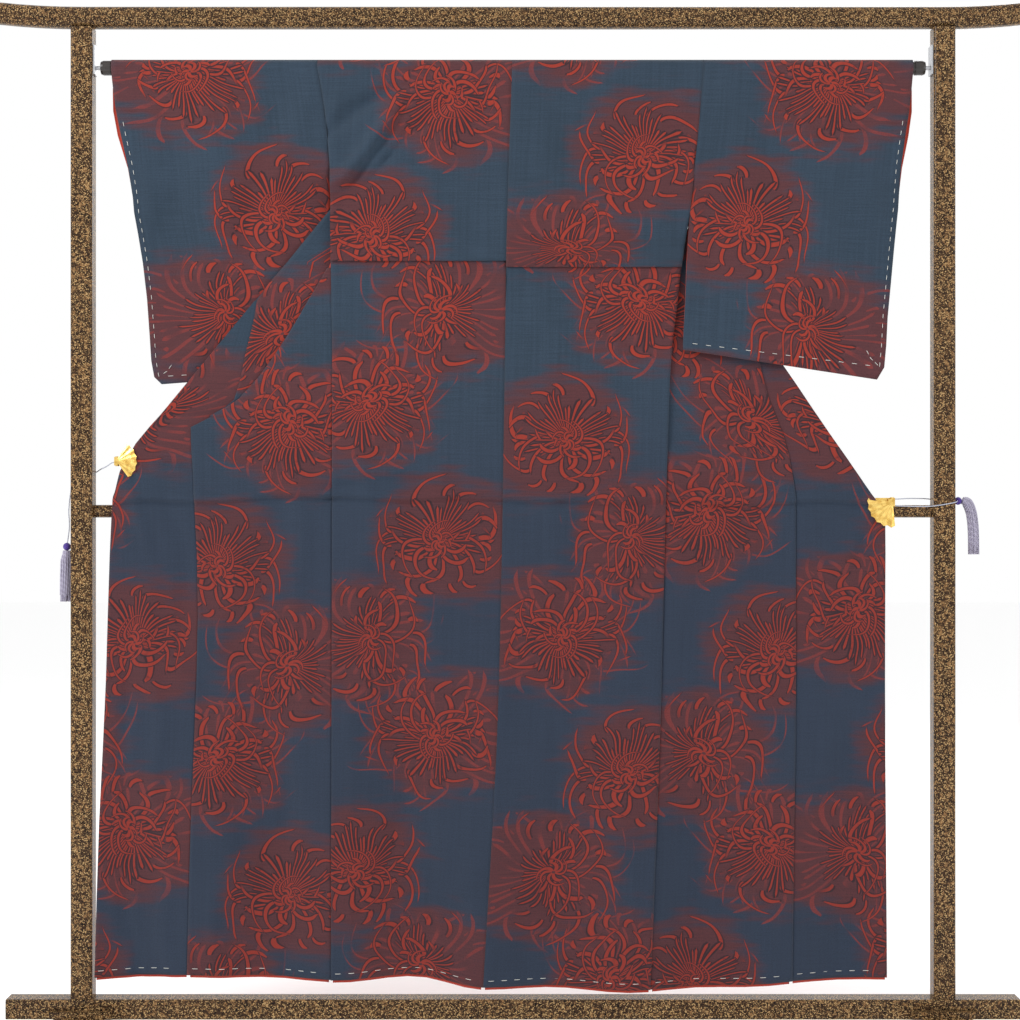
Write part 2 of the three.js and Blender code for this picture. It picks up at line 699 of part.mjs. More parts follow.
function mouthLining(name, sleeve, grid) {
  const middle = sleeve.lines.length + ROD_STEPS / 2;
  const reach = sleeve.mouthRows + ROD_STEPS / 2;
  const rows = grid.slice(middle - reach, middle + reach + 1).map((row, i) => {
    const [next, end] = row.slice(-2);
    const angle = Math.PI * (1 - clamp((i - sleeve.mouthRows) / ROD_STEPS));
    const aside = new THREE.Vector3(0, Math.cos(angle), Math.sin(angle)).setLength(LINING_IN);
    const width = end.distanceTo(next);
    const moved = (inwards) => end.clone().lerp(next, inwards / width).sub(aside);
    return [MOUTH_BAND, MOUTH_BAND / 2, LINING_EDGE].map(moved);
  });
  add(name, clothSolid(rows, LINING_WALL), 'lining');
}

for (const [name, sleeve] of Object.entries(SLEEVES)) {
  const grid = sleeveGrid(sleeve);
  add(`sleeve_${name}`, clothSolid(grid, WALL), 'cloth');
  mouthLining(`mouth_lining_${name}`, sleeve, grid);
}

// The stand

// A piece turned from a profile of [radius, along] pairs, with its length along X.
function turnedPiece(profile, segments, way) {
  const piece = new THREE.LatheGeometry(profile.map((p) => new THREE.Vector2(...p)), segments);
  return facingOut(piece.rotateZ((-way * Math.PI) / 2));
}

// The same piece, turned inside out where its faces point inwards
function facingOut(geometry) {
  const bare = geometry.clone();
  bare.deleteAttribute('normal');
  bare.deleteAttribute('uv');
  const merged = mergeVertices(bare, 1e-4);
  const at = merged.attributes.position;
  const corners = Array.from(merged.index.array);
  const [a, b, c] = [0, 1, 2].map(() => new THREE.Vector3());
  let volume = 0;
  for (let i = 0; i < corners.length; i += 3) {
    [a, b, c].forEach((v, k) => v.fromBufferAttribute(at, corners[i + k]));
    volume += a.dot(b.clone().cross(c)) / 6;
  }
  if (volume < 0) {
    for (let i = 0; i < corners.length; i += 3) [corners[i], corners[i + 1]] = [corners[i + 1], corners[i]];
    merged.setIndex(corners);
  }
  return merged;
}

// A round bar along X
function rodPiece(x0, x1, radius, y, z, sides) {
  const piece = new THREE.CylinderGeometry(radius, radius, x1 - x0, sides);
  return piece.rotateZ(Math.PI / 2).translate((x0 + x1) / 2, y, z);
}

add('rod', rodPiece(-ROD_HALF, ROD_HALF, ROD_RADIUS, 0, ROD_HEIGHT, 24), 'rod');
add('middle_bar', rodPiece(-POST_OUT + POST_SIZE / 2 + GAP, POST_OUT - POST_SIZE / 2 - GAP,
  BAR_RADIUS, BAR_BACK, BAR_HEIGHT, 20), 'lacquer');
add('bottom_beam', roundedBar(BEAM_REACH, BEAM_DEPTH, BEAM_HEIGHT, 4, 1)
  .translate(0, 0, BEAM_LOW + BEAM_HEIGHT / 2), 'lacquer');
add('top_beam', roundedBar(TOP_REACH, TOP_DEPTH, TOP_HEIGHT, 14, 12, TOP_LIFT)
  .translate(0, 0, TOP_LOW + TOP_HEIGHT / 2), 'lacquer');

// The foot's side outline, in [y, z], with a low arch under it and toes that thin out
function footBody() {
  const half = FOOT_LENGTH / 2;
  const shape = new THREE.Shape();
  shape.moveTo(-half, 0);
  shape.lineTo(-half + 70, 0);
  shape.quadraticCurveTo(-half + 80, 8, -half + 100, 8);
  shape.lineTo(half - 100, 8);
  shape.quadraticCurveTo(half - 80, 8, half - 70, 0);
  shape.lineTo(half, 0);
  shape.quadraticCurveTo(half + 4, 14, half - 16, 17);
  shape.quadraticCurveTo(half - 100, 20, 62, BEAM_LOW - GAP);
  shape.lineTo(-62, BEAM_LOW - GAP);
  shape.quadraticCurveTo(-half + 100, 20, -half + 16, 17);
  shape.quadraticCurveTo(-half - 4, 14, -half, 0);
  const foot = new THREE.ExtrudeGeometry(shape, {
    depth: FOOT_WIDTH, steps: 1, bevelEnabled: false, curveSegments: 5,
  });
  foot.translate(0, 0, -FOOT_WIDTH / 2);
  return foot.rotateX(Math.PI / 2).rotateZ(Math.PI / 2);
}

// A cheek that holds the bottom beam, in [x, z], from its foot in the runner to its cusped top
function cheek(y) {
  const [narrow, wide] = [FOOT_WIDTH / 2 - 2, CHEEK_WIDTH / 2];
  const shape = new THREE.Shape();
  shape.moveTo(-narrow, 12);
  shape.lineTo(narrow, 12);
  shape.lineTo(narrow, 22);
  shape.quadraticCurveTo(narrow + 2, CHEEK_TOP - 12, wide, CHEEK_TOP - 9);
  shape.lineTo(wide, CHEEK_TOP);
  shape.lineTo(-wide, CHEEK_TOP);
  shape.lineTo(-wide, CHEEK_TOP - 9);
  shape.quadraticCurveTo(-narrow - 2, CHEEK_TOP - 12, -narrow, 22);
  shape.closePath();
  const plate = new THREE.ExtrudeGeometry(shape, {
    depth: CHEEK_THICK, steps: 1, bevelEnabled: false, curveSegments: 5,
  });
  return plate.rotateX(Math.PI / 2).translate(0, y, 0);
}

function post() {
  const shape = new THREE.Shape();
  const [half, radius] = [POST_SIZE / 2 - 6, 6];
  shape.absarc(half, half, radius, 0, Math.PI / 2);
  shape.absarc(-half, half, radius, Math.PI / 2, Math.PI);
  shape.absarc(-half, -half, radius, Math.PI, 1.5 * Math.PI);
  shape.absarc(half, -half, radius, 1.5 * Math.PI, 2 * Math.PI);
  const [low, high] = [BEAM_LOW + BEAM_HEIGHT + GAP, TOP_LOW - GAP];
  const piece = new THREE.ExtrudeGeometry(shape, {
    depth: high - low, steps: 1, bevelEnabled: false, curveSegments: 3,
  });
  return piece.translate(0, 0, low);
}

// A plate on the post's inner face with a pin that enters the rod's cap
function rodBracket(way) {
  const face = POST_OUT - POST_SIZE / 2 - GAP;
  const tip = ROD_HALF + CAP_LENGTH - PIN_DEEP;
  const plate = box(face - PLATE_THICK, face, -PLATE_HALF, PLATE_HALF,
    ROD_HEIGHT - PLATE_BELOW, ROD_HEIGHT + PLATE_ABOVE);
  const pin = rodPiece(tip, face - PLATE_THICK / 2, PIN_RADIUS, 0, ROD_HEIGHT, 12);
  const piece = joined(plate, pin);
  return way > 0 ? piece : mirrored(piece);
}

function mirrored(geometry) {
  return facingOut(geometry.clone().scale(-1, 1, 1));
}

for (const [name, { way }] of Object.entries(SIDES)) {
  const at = way * POST_OUT;
  add(`post_${name}`, post().translate(at, 0, 0), 'lacquer');
  const [front, back] = [-BEAM_DEPTH / 2 - GAP, BEAM_DEPTH / 2 + GAP + CHEEK_THICK];
  add(`foot_${name}`, joined(footBody(), cheek(front), cheek(back)).translate(at, 0, 0), 'lacquer');
  const bore = PIN_RADIUS + GAP;
  const profile = [[0, GAP], [CAP_RADIUS, GAP], [CAP_RADIUS, CAP_LENGTH - 4], [CAP_RADIUS - 1.5, CAP_LENGTH],
    [bore, CAP_LENGTH], [bore, CAP_LENGTH - BORE_DEEP], [0, CAP_LENGTH - BORE_DEEP]];
  const cap = turnedPiece(profile, 20, way).translate(way * ROD_HALF, 0, ROD_HEIGHT);
  add(`rod_cap_${name}`, cap, 'rod');
  add(`rod_bracket_${name}`, rodBracket(way), 'steel');
}

// The clips: a pleated fan before the cloth and a plain jaw behind it, on a barrel past the edge

const FAN_PLEATS = 6;
const FAN_WALL = 1.4;
const FAN_ZIG = 1.1; // half the depth of a pleat at the fan's rim
const FAN_ROOT = 0.12; // share of the reach at which the fan starts
const FAN_SCALLOP = 0.07;
const BARREL_RADIUS = 3;
const BARREL_LENGTH = 16;
const JAW_THICK = 2;
const JAW_SHARE = 0.62; // the jaw's length as a share of the fan's reach
const JAW_HALF = 7; // half of the jaw's height
const BRIDGE_IN = 2; // how far the bridge between fan and jaw runs in and out from the pivot
const BRIDGE_OUT = 4;
const HUB_IN = 7;
const HUB_HALF = 5;

const CLIPS = {
  left: { out: 650, down: 649, reach: 34, faces: 176, spread: 116 },
  right: { out: 622, down: 716, reach: 42, faces: 222, spread: 108 },
};

function fan(clip, y) {
  const ridges = Array.from({ length: 2 * FAN_PLEATS + 1 }, (_, j) => j);
  const rows = [FAN_ROOT, (1 + FAN_ROOT) / 2, 1].map((share) => ridges.map((j) => {
    const angle = THREE.MathUtils.degToRad(clip.faces + clip.spread * (j / (2 * FAN_PLEATS) - 0.5));
    const ridge = j % 2;
    const radius = clip.reach * share * (ridge ? 1 : 1 - FAN_SCALLOP * share);
    return new THREE.Vector3(clip.out + radius * Math.cos(angle), y + (ridge ? -1 : 1) * FAN_ZIG * share,
      ROD_HEIGHT - clip.down + radius * Math.sin(angle));
  }));
  return clothSolid(rows, FAN_WALL);
}

for (const [name, side] of Object.entries(SIDES)) {
  const clip = CLIPS[name];
  const z = ROD_HEIGHT - clip.down;
  const depth = okumiDepth(side, clip.down);
  const fanBack = depth - HALF - 2 * GAP;
  const jawFront = collarDepth(side, clip.down) + COLLAR_WALL / 2 + 2 * GAP;
  const middle = (fanBack + jawFront) / 2;
  const [fanFront, outer] = [fanBack - FAN_WALL - FAN_ZIG, clip.out + BRIDGE_OUT];
  const barrel = new THREE.CylinderGeometry(BARREL_RADIUS, BARREL_RADIUS, BARREL_LENGTH, 12)
    .rotateX(Math.PI / 2).translate(clip.out, middle, z);
  const bridge = box(clip.out - BRIDGE_IN, outer, fanFront, jawFront + JAW_THICK, z - JAW_HALF, z + JAW_HALF);
  const jaw = box(clip.out - JAW_SHARE * clip.reach, outer - 1, jawFront, jawFront + JAW_THICK,
    z - JAW_HALF, z + JAW_HALF);
  const hub = box(clip.out - HUB_IN, outer, fanFront, fanBack, z - HUB_HALF, z + HUB_HALF);
  const pieces = joined(barrel, bridge, jaw, hub, fan(clip, fanBack - FAN_WALL / 2 - FAN_ZIG));
  add(`clip_${name}`, side.way > 0 ? pieces : mirrored(pieces), 'gold');
}

// Cords and tassels

const CORD_RADIUS = 0.9;
const CORD_SIDES = 8;

// The cords' routes as [out, y, down], chosen by hand, round the posts without touching them
const CORDS = {
  cord_left: {
    way: -1,
    steps: 42,
    route: [[654.4, -17, 651], [658, -16.6, 651.6], [668, -9, 657], [681, 2, 662], [688, 12, 665],
      [691.4, 18, 666], [698, 19.2, 667], [722, 19.2, 670], [727.5, 17.6, 673], [729.3, 11, 682],
      [732, 6, 704], [734, 4, 730], [733, 4, 756], [736, 4, 781.5]],
  },
  cord_right_back: {
    way: 1,
    steps: 30,
    route: [[626.4, -16, 711], [631, -15.6, 711], [650, -8, 710], [674, 6, 710], [687, 15, 710.5],
      [691.6, 18.4, 711], [700, 19.2, 711], [720, 19.2, 712], [727, 17.6, 713], [729.6, 12, 713.5], [731.5, 7.6, 714]],
  },
  cord_right_front: {
    way: 1,
    steps: 28,
    route: [[626.4, -19, 722], [655, -19.6, 723], [682, -19.6, 723], [700, -19.2, 721], [720, -19.2, 717.5],
      [727, -17.6, 716], [729.6, -12, 715], [731.5, -7.6, 714.3]],
  },
};

for (const [name, { way, steps, route }] of Object.entries(CORDS)) {
  const points = route.map(([out, y, down]) => [way * out, y, ROD_HEIGHT - down]);
  add(name, facingOut(tube(points, CORD_RADIUS, CORD_SIDES, steps)), 'cord');
}

const KNOT_RADIUS = 6.4;
const TASSELS = {
  left: {
    way: -1,
    knot: [737, 4, 789.5],
    route: [[737.2, 4, 795.9], [738.4, 4, 830], [738.8, 4, 880]],
    radius: 10.2,
  },
  right: {
    way: 1,
    knot: [734.2, 0, 714],
    route: [[741.4, 0, 713.6], [748, 0, 716], [755, 0, 730], [759, 0, 756], [760, 0, 802]],
    radius: 9.6,
  },
};
const SKIRT_FLUTES = 8;
const FLUTE_DEPTH = 0.88; // the hollows' share of the skirt's radius
const SKIRT_STEPS = 9;

// The skirt's threads lie in flutes along its route.
function skirt({ way, route, radius }) {
  const curve = new THREE.CatmullRomCurve3(route.map(([out, y, down]) => (
    new THREE.Vector3(way * out, y, ROD_HEIGHT - down))));
  const section = new THREE.Shape();
  const count = 2 * SKIRT_FLUTES;
  for (let i = 0; i < count; i++) {
    const angle = (2 * Math.PI * i) / count;
    const reach = radius * (i % 2 ? FLUTE_DEPTH : 1);
    const [x, y] = [reach * Math.cos(angle), reach * Math.sin(angle)];
    if (i === 0) section.moveTo(x, y);
    else section.lineTo(x, y);
  }
  section.closePath();
  return facingOut(new THREE.ExtrudeGeometry(section, {
    extrudePath: curve, steps: SKIRT_STEPS, bevelEnabled: false,
  }));
}

for (const [name, tassel] of Object.entries(TASSELS)) {
  const [out, y, down] = tassel.knot;
  const knot = facingOut(new THREE.SphereGeometry(KNOT_RADIUS, 10, 6).scale(1, 1, 0.95));
  add(`knot_${name}`, knot.translate(tassel.way * out, y, ROD_HEIGHT - down), 'knot');
  add(`tassel_${name}`, skirt(tassel), 'skirt');
}

export default group;
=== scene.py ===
"""A woman's kimono hung on a lacquered kimono stand, seen from its back.

Metres in Blender, and millimetres in the tables, which are the same as those of the solids. "out" is a
distance from the middle plane, "down" a distance below the rod's centre line, and the photographed side
faces -Y. A surface is a grid of points worked out with numpy: its rows run down the cloth, its columns
across, and a point that isn't there is nan.
"""
import json
import math

import bmesh
import bpy
import numpy as np
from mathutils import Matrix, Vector


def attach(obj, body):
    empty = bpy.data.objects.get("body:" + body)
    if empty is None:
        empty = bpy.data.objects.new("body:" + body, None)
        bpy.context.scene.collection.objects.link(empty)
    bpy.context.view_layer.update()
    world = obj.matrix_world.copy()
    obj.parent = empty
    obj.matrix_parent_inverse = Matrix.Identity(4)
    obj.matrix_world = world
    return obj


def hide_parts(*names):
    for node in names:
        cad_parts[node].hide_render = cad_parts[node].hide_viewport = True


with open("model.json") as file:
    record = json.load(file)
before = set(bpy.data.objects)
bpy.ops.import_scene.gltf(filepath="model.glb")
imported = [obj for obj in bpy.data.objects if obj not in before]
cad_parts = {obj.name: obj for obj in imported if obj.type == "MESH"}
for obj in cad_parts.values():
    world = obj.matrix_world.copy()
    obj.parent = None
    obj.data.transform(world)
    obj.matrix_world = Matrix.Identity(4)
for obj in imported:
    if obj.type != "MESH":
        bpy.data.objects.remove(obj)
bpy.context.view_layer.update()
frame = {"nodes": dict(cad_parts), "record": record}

MM = 0.001
ROD_HEIGHT = 1595.0
GAP = 0.3
WALL = 1.6
HALF = WALL / 2
LAP = WALL + GAP
FOLD_PITCH = 3.6
FOLD_RADIUS = FOLD_PITCH / 2
SEAM_LAP = 2.0
SIDE_LAP = 2.5
CLOTH_RADIUS = 13.2
NECK_OUT = 105.6
NECK_TOP = 6.0
HEM_DOWN = 1500.0
COLLAR_WIDTH = 55.0
COLLAR_WALL = 2.0
COLLAR_PITCH = HALF + 1.4 + COLLAR_WALL / 2
COLLAR_REACH = 30.0
TUCK_RISE = 20.0
TUCK_PITCH = 2.4
TUCK_EASE = 60.0
HEM_BAND = 40.0
HEM_SHOW = 2.5
HEM_INSET = 3.0
HEM_BEHIND = 1.9
LINING_WALL = 1.0
SHELL = 1.3


# Camera, at the photograph's place before the kimono's back

SENSOR = 36  # millimetres
SEEN_WIDTH, CAMERA_AWAY, CAMERA_HEIGHT = 1.683, 3.0, 0.866

camera_data = bpy.data.cameras.new("camera")
camera_data.sensor_width = SENSOR
camera_data.lens = SENSOR / (SEEN_WIDTH / CAMERA_AWAY)
camera = bpy.data.objects.new("camera", camera_data)
camera.location = (-0.005, -CAMERA_AWAY, CAMERA_HEIGHT)
camera.rotation_euler = (math.radians(90), 0, 0)
bpy.context.scene.collection.objects.link(camera)
bpy.context.scene.camera = camera


# Numbers

def mix(a, b, t):
    """a at t = 0, b at t = 1, and the straight line between them."""
    return a + (b - a) * t


def smooth(a, b, v):
    """0 below a, 1 above b, and 3t^2 - 2t^3 between them."""
    t = np.clip((np.asarray(v, float) - a) / (b - a), 0, 1)
    return t * t * (3 - 2 * t)


def column(table, index):
    """A table's column as a function of its first one: cubic pieces whose slope at each row is the
    harmonic mean of its neighbours' slopes, so they never pass beyond the rows' own values."""
    x = np.array([row[0] for row in table], float)
    y = np.array([row[index] for row in table], float)
    step = np.diff(x)
    slope = np.diff(y) / step
    a, b = slope[:-1], slope[1:]
    inner = np.where(a * b > 0, 2 * a * b / np.where(a * b > 0, a + b, 1), 0)
    tangent = np.concatenate([slope[:1], inner, slope[-1:]])

    def at(value):
        v = np.clip(np.asarray(value, float), x[0], x[-1])
        i = np.clip(np.searchsorted(x, v, side="right") - 1, 0, len(x) - 2)
        h = step[i]
        t = (v - x[i]) / h
        return ((2 * t**3 - 3 * t**2 + 1) * y[i] + (t**3 - 2 * t**2 + t) * h * tangent[i]
                + (3 * t**2 - 2 * t**3) * y[i + 1] + (t**3 - t**2) * h * tangent[i + 1])
    return at


# The kimono's lines, as tables of real sizes

seam_x = column([  # down, x
    (0, -1.6), (324, -11.5), (449, -13), (1009, -23), (1514, -49.5)], 1)
back_depth = column([  # down, y
    (0, -CLOTH_RADIUS), (232, -13.5), (357, -14.4), (478, -16.5), (600, -19), (712, -21), (1042, -22),
    (1500, -25)], 1)
hem_down = column([  # x, down
    (-690, 1496), (-533, 1489), (-297, 1496), (-165, 1491), (-50, 1507), (65, 1509), (224, 1513), (457, 1500),
    (612, 1494)], 1)

SIDES = {
    "left": dict(
        way=-1, tuck=319, slope=0.821, tip=384, side_seam=(329, 331), pleat_top=331, fold_end=576,
        inner_cols=2, collar_end=664,
        rows=[  # down, side, outer_fold, inner_fold, seam, front_y
            (0, 321.8, 322, NECK_OUT, NECK_OUT, CLOTH_RADIUS), (68, 310, 311, 130, 166.6, 10),
            (134, 303.6, 305, 152, 221, 8), (184, 300.3, 302, 169, 261, 1),
            (232, 300.3, 302, 185, 300.6, -4.5), (283, 300.3, 302, 206, 342.7, -4.6),
            (320, 300, 303, 232.6, 372.5, -4), (331, 299.8, 306, 241, 382, -7.4),
            (357, 299, 320, 262, 403.6, -8.2), (377, 298.6, 332, 277, 420, -10),
            (410, 298, 351, 298.7, 425.7, -12.6), (471, 297, 389, 345.7, 440.5, -14.4),
            (547, 297, 450.5, 415.8, 458.7, -15.9), (575, 297, 497.5, 483.5, 500.8, -16.5),
            (593, 297, 529, 529, 529, -16.9), (712, 297, 523, 523, 523, -19.1),
            (877, 297, 516.5, 516.5, 516.5, -19.6), (1042, 297, 520, 520, 520, -20.1),
            (1273, 297, 528, 528, 528, -21.6), (1500, 297, 533, 533, 533, -23.1)],
        low_edge=[  # down, out
            (630, 628), (649, 640), (695, 652), (712, 657), (811, 662), (1009, 668), (1273, 680),
            (1500, 686)],
        lines=(34, 68, 110, 160, 205, 245, 283, 305, 320, 331, 357, 384, 410, 440, 471, 510, 547, 560, 575,
               593, 620, 665)),
    "right": dict(
        way=1, tuck=329, slope=0.681, tip=428, side_seam=(349, 395), pleat_top=math.inf, fold_end=611,
        inner_cols=6, collar_end=708,
        rows=[
            (0, 313.5, 314, NECK_OUT, NECK_OUT, CLOTH_RADIUS), (68, 307.7, 308, 125, 156, 11.5),
            (134, 302, 303, 142.6, 201, 11), (184, 296, 297, 155.6, 234.7, 10.5),
            (232, 292, 293, 168, 267.5, 9), (265, 287, 288, 175.7, 290, 7), (300, 281, 282, 184, 314, 2),
            (329, 277, 278, 192, 334, -4), (345, 275, 276, 196, 345, -6.6),
            (382, 271, 272, 205, 369.6, -11.7), (421, 266, 267, 214.7, 394, -13.3),
            (478, 259, 260, 218, 404, -14.6), (547, 256.6, 257, 226, 420.8, -15.9),
            (610, 254, 255, 238, 445.5, -17.3), (680, 252, 253, 250, 460, -18.6),
            (712, 250.8, 251, 251, 463.7, -19.1), (1042, 242.5, 243, 243, 463.7, -20.1),
            (1273, 234, 235, 235, 460, -21.6), (1500, 224.4, 225, 225, 457, -23.1)],
        low_edge=[
            (700, 586.4), (712, 594.6), (728, 610), (745, 613), (804, 611), (1042, 610), (1273, 611),
            (1500, 612)],
        lines=(34, 68, 110, 160, 205, 245, 265, 283, 310, 329, 350, 382, 428, 450, 478, 512, 547, 580, 610,
               645, 680)),
}
NECK_CUT = 12
BACK_LINES = (34, 68, 110, 160, 205, 245, 283, 357, 390, 450, 512, 580, 645)
LOW_LINES = (700, 706, 712, 718, 724, 730, 800, 900, 1010, 1125, 1245, 1365, HEM_DOWN - HEM_BAND, HEM_DOWN)

# Where each panel's flowers start, as a distance down, and the length of cloth in its back tuck
FLOWER_START = {"back_left": 52, "back_right": -79, "front_left": 593, "front_right": 737,
                "okumi_left": 1260, "okumi_right": 900, "sleeve_left": -532, "sleeve_right": -513}
TUCK_TAKES = {"left": 42, "right": 76}


class Side:
    """One half of the kimono: its lines as functions of the distance down."""

    def __init__(self, name, way, tuck, slope, tip, side_seam, pleat_top, fold_end, inner_cols, collar_end,
                 rows, low_edge, lines):
        self.name, self.way, self.tuck, self.slope, self.tip = name, way, tuck, slope, tip
        self.side_seam, self.pleat_top, self.fold_end = side_seam, pleat_top, fold_end
        self.inner_cols, self.collar_end = inner_cols, collar_end
        self.side, self.outer, self.inner, self.seam, self.loose = [column(rows, k) for k in range(1, 6)]
        self.low, self.low_start = column(low_edge, 1), low_edge[0][0]
        self.lines = lines
        self.row_lines = (NECK_CUT, *lines, *LOW_LINES)

    def edge(self, down):
        """The front edge: a straight line from the neck to the clip, then the table's curve to the hem."""
        taut = NECK_OUT + self.slope * (down + NECK_TOP)
        return np.where(down < self.low_start, taut, self.low(down))

    def back_y(self, down):
        """The back's depth. Below its tuck it starts two layers behind and comes forward again."""
        behind = 2 * TUCK_PITCH * (1 - smooth(0, TUCK_EASE, down - self.tuck))
        return back_depth(down) + np.where(down < self.tuck, 0, behind)

    def front_y(self, down):
        """The front's depth: free of the back at first, then just behind it along the side seam."""
        return mix(self.loose(down), self.back_y(down) + SIDE_LAP, smooth(*self.side_seam, down))

    def seam_depth(self, down):
        """The depth of the front's last layer: each fold above it adds one pitch."""
        folds = np.where(down > self.fold_end, 0, np.where(down >= self.pleat_top, 2, 1))
        return self.front_y(down) + FOLD_PITCH * folds

    def okumi_depth(self, down):
        return self.seam_depth(down) + LAP

    def collar_depth(self, down):
        """Behind the deepest that the front reaches between the rows round this height."""
        near = [down] + [line for line in self.row_lines if abs(line - down) < COLLAR_REACH]
        lap = [self.seam_depth(v) + LAP * smooth(self.tip - 50, self.tip - 10, v) for v in near]
        return float(np.max(lap)) + COLLAR_PITCH


SIDES = {name: Side(name, **facts) for name, facts in SIDES.items()}


# Creases: from one point to another, how wide, and how far towards the viewer

CREASE_DEPTH = 1.6  # what every crease's height is multiplied by

COMMON_CREASES = np.array([
    # x, down, x, down, width, height
    (-640, 712, -300, 702, 7, 1.7), (-640, 721, -300, 711, 4, -2.5), (-300, 704, 78, 707, 7, 1.6),
    (-300, 713, 78, 716, 4, -2.4), (78, 707, 350, 712, 7, 1.6), (78, 716, 350, 721, 4, -1.8),
    (330, 714, 600, 710, 7, 1.7), (330, 723, 600, 719, 4, -2.3), (-582, 662, -516, 697, 6, 2.2),
    (-560, 650, -505, 676, 6, -1.8), (-302, 678, -120, 660, 6, 1.8), (-302, 690, -150, 676, 6, -1.6),
    (-269, 951, -21, 948, 7, 1.1), (250, 690, 380, 664, 6, 1.8), (250, 702, 360, 680, 6, -1.4),
    (-600, 900, -560, 1480, 16, 2.2), (-640, 1000, -625, 1480, 12, -1.8),
    (-470, 820, -480, 1480, 20, 2.0), (-400, 760, -380, 1400, 22, -2.2), (-352, 720, -345, 1200, 14, 1.6),
    (-240, 640, -252, 1100, 22, 2.2), (-180, 760, -200, 1400, 20, -2.0), (-110, 640, -125, 1300, 18, 1.6),
    (60, 640, 50, 1350, 20, 1.9), (110, 560, 120, 1200, 16, -1.6), (180, 640, 170, 1400, 18, 1.8),
    (300, 720, 290, 1450, 18, -1.8), (350, 560, 352, 1300, 16, 1.8), (410, 640, 405, 1400, 16, -1.5),
    (500, 720, 500, 1450, 20, 2.0), (560, 760, 562, 1450, 18, -2.0), (-30, 380, -200, 600, 26, 1.6),
    (40, 400, 180, 560, 24, 1.4), (-250, 420, -180, 560, 18, -1.5), (200, 430, 150, 640, 20, -1.4),
    (-560, 720, -520, 1000, 16, -1.6), (440, 470, 480, 640, 16, 1.8), (390, 520, 425, 700, 12, -1.6),
    (-640, 690, -600, 780, 10, 1.8), (590, 730, 540, 800, 12, 1.8), (590, 745, 520, 870, 12, -1.6),
    (-30, 1000, -60, 1480, 22, 1.8), (230, 900, 225, 1480, 9, 1.4),
], float)
BACK_CREASES = np.array([
    (-128, 12, -214, 100, 13, 4.0), (-214, 100, -290, 182, 13, 4.6), (-274, 180, -300, 262, 12, 2.6),
    (-158, 34, -214, 121, 7, -3.4), (-214, 121, -262, 178, 7, -4.4), (-262, 178, -300, 226, 8, -4.0),
    (-168, 12, -236, 58, 11, -3.4), (-236, 58, -284, 100, 11, -3.2), (-60, 40, -170, 240, 24, 1.8),
    (-285, 60, -292, 130, 12, 2.0),
    (120, 30, 235, 170, 24, 2.2), (235, 170, 262, 290, 18, 2.0), (150, 25, 275, 120, 22, -2.4),
    (60, 50, 90, 300, 26, 1.6), (-40, 60, -45, 300, 24, -1.4), (20, 60, 30, 300, 22, -1.2),
    (-200, 262, -60, 300, 16, 1.4), (80, 300, 220, 270, 16, 1.3), (-300, 292, -20, 300, 12, -1.1),
    (20, 300, 270, 306, 12, -1.0), (200, 60, 215, 260, 18, -1.6), (282, 60, 280, 180, 12, 1.8),
    (-86, 36, -207, 148, 6, -2.4), (-207, 148, -284, 226, 6, -3.0), (-180, 14, -262, 74, 12, -2.4),
], float)
SLEEVE_CREASES = np.array([
    (-350, 60, -420, 330, 22, 2.4), (-390, 50, -460, 420, 20, -2.2), (-480, 70, -500, 470, 26, 2.2),
    (-560, 90, -570, 470, 20, -2.2), (-610, 150, -598, 330, 12, 1.8), (-440, 420, -590, 470, 14, 1.6),
    (-360, 280, -470, 250, 18, 1.6), (-530, 300, -600, 340, 16, -1.4), (350, 60, 400, 330, 22, 2.4),
    (400, 50, 430, 440, 20, -2.2), (480, 70, 500, 470, 26, 2.4), (560, 90, 555, 480, 20, -2.2),
    (600, 120, 590, 420, 14, 1.8), (320, 250, 300, 420, 14, -2.0), (360, 420, 560, 460, 14, 1.6),
    (440, 260, 560, 230, 20, 1.5), (300, 330, 420, 380, 18, 1.5), (540, 340, 610, 380, 16, -1.4),
], float)


def crease(table, x, down):
    """The sum over the creases of height times exp(-(distance / width)^2), where the distance is that
    from the crease's straight line, and its ends fade by the same rule over three widths."""
    x0, d0, x1, d1, width, height = (table[:, k, None] for k in range(6))
    px, pd = np.ravel(x)[None], np.ravel(down)[None]
    length = np.hypot(x1 - x0, d1 - d0)
    ux, ud = (x1 - x0) / length, (d1 - d0) / length
    along = (px - x0) * ux + (pd - d0) * ud
    aside = (px - x0) * -ud + (pd - d0) * ux + width * 0.6 * np.sin(along / 37 + x0)
    beyond = np.maximum(np.maximum(-along, along - length), 0) / (3 * width)
    lift = (CREASE_DEPTH * height * np.exp(-(aside / width) ** 2 - beyond**2)).sum(axis=0)
    return -lift.reshape(np.shape(x))


def wave(x, down):
    """The lower part's soft waves: a cosine across that grows towards the hem."""
    grow = smooth(760, 1500, down)
    outward = mix(1, 0.45, smooth(300, 690, np.abs(x)))
    return -12 * grow * outward * np.cos(2 * np.pi * (x + 50) / 232)


def placed(x, y, down):
    """Points of the kimono with the waves and the hem's own height put in."""
    x, y, down = np.broadcast_arrays(np.asarray(x, float), np.asarray(y, float), np.asarray(down, float))
    reach = down + (hem_down(x) - HEM_DOWN) * smooth(1000, HEM_DOWN, down)
    return np.stack([x, y + wave(x, down), ROD_HEIGHT - reach], axis=-1)


def cuts(gaps, step):
    """Places along a run of cells, counted in cells, that cut each gap into two or more equal parts of
    about one step."""
    counts = np.maximum(np.ceil(np.asarray(gaps) / step).astype(int), 2)
    places = [k + np.arange(count) / count for k, count in enumerate(counts)]
    return np.append(np.concatenate(places), len(counts))


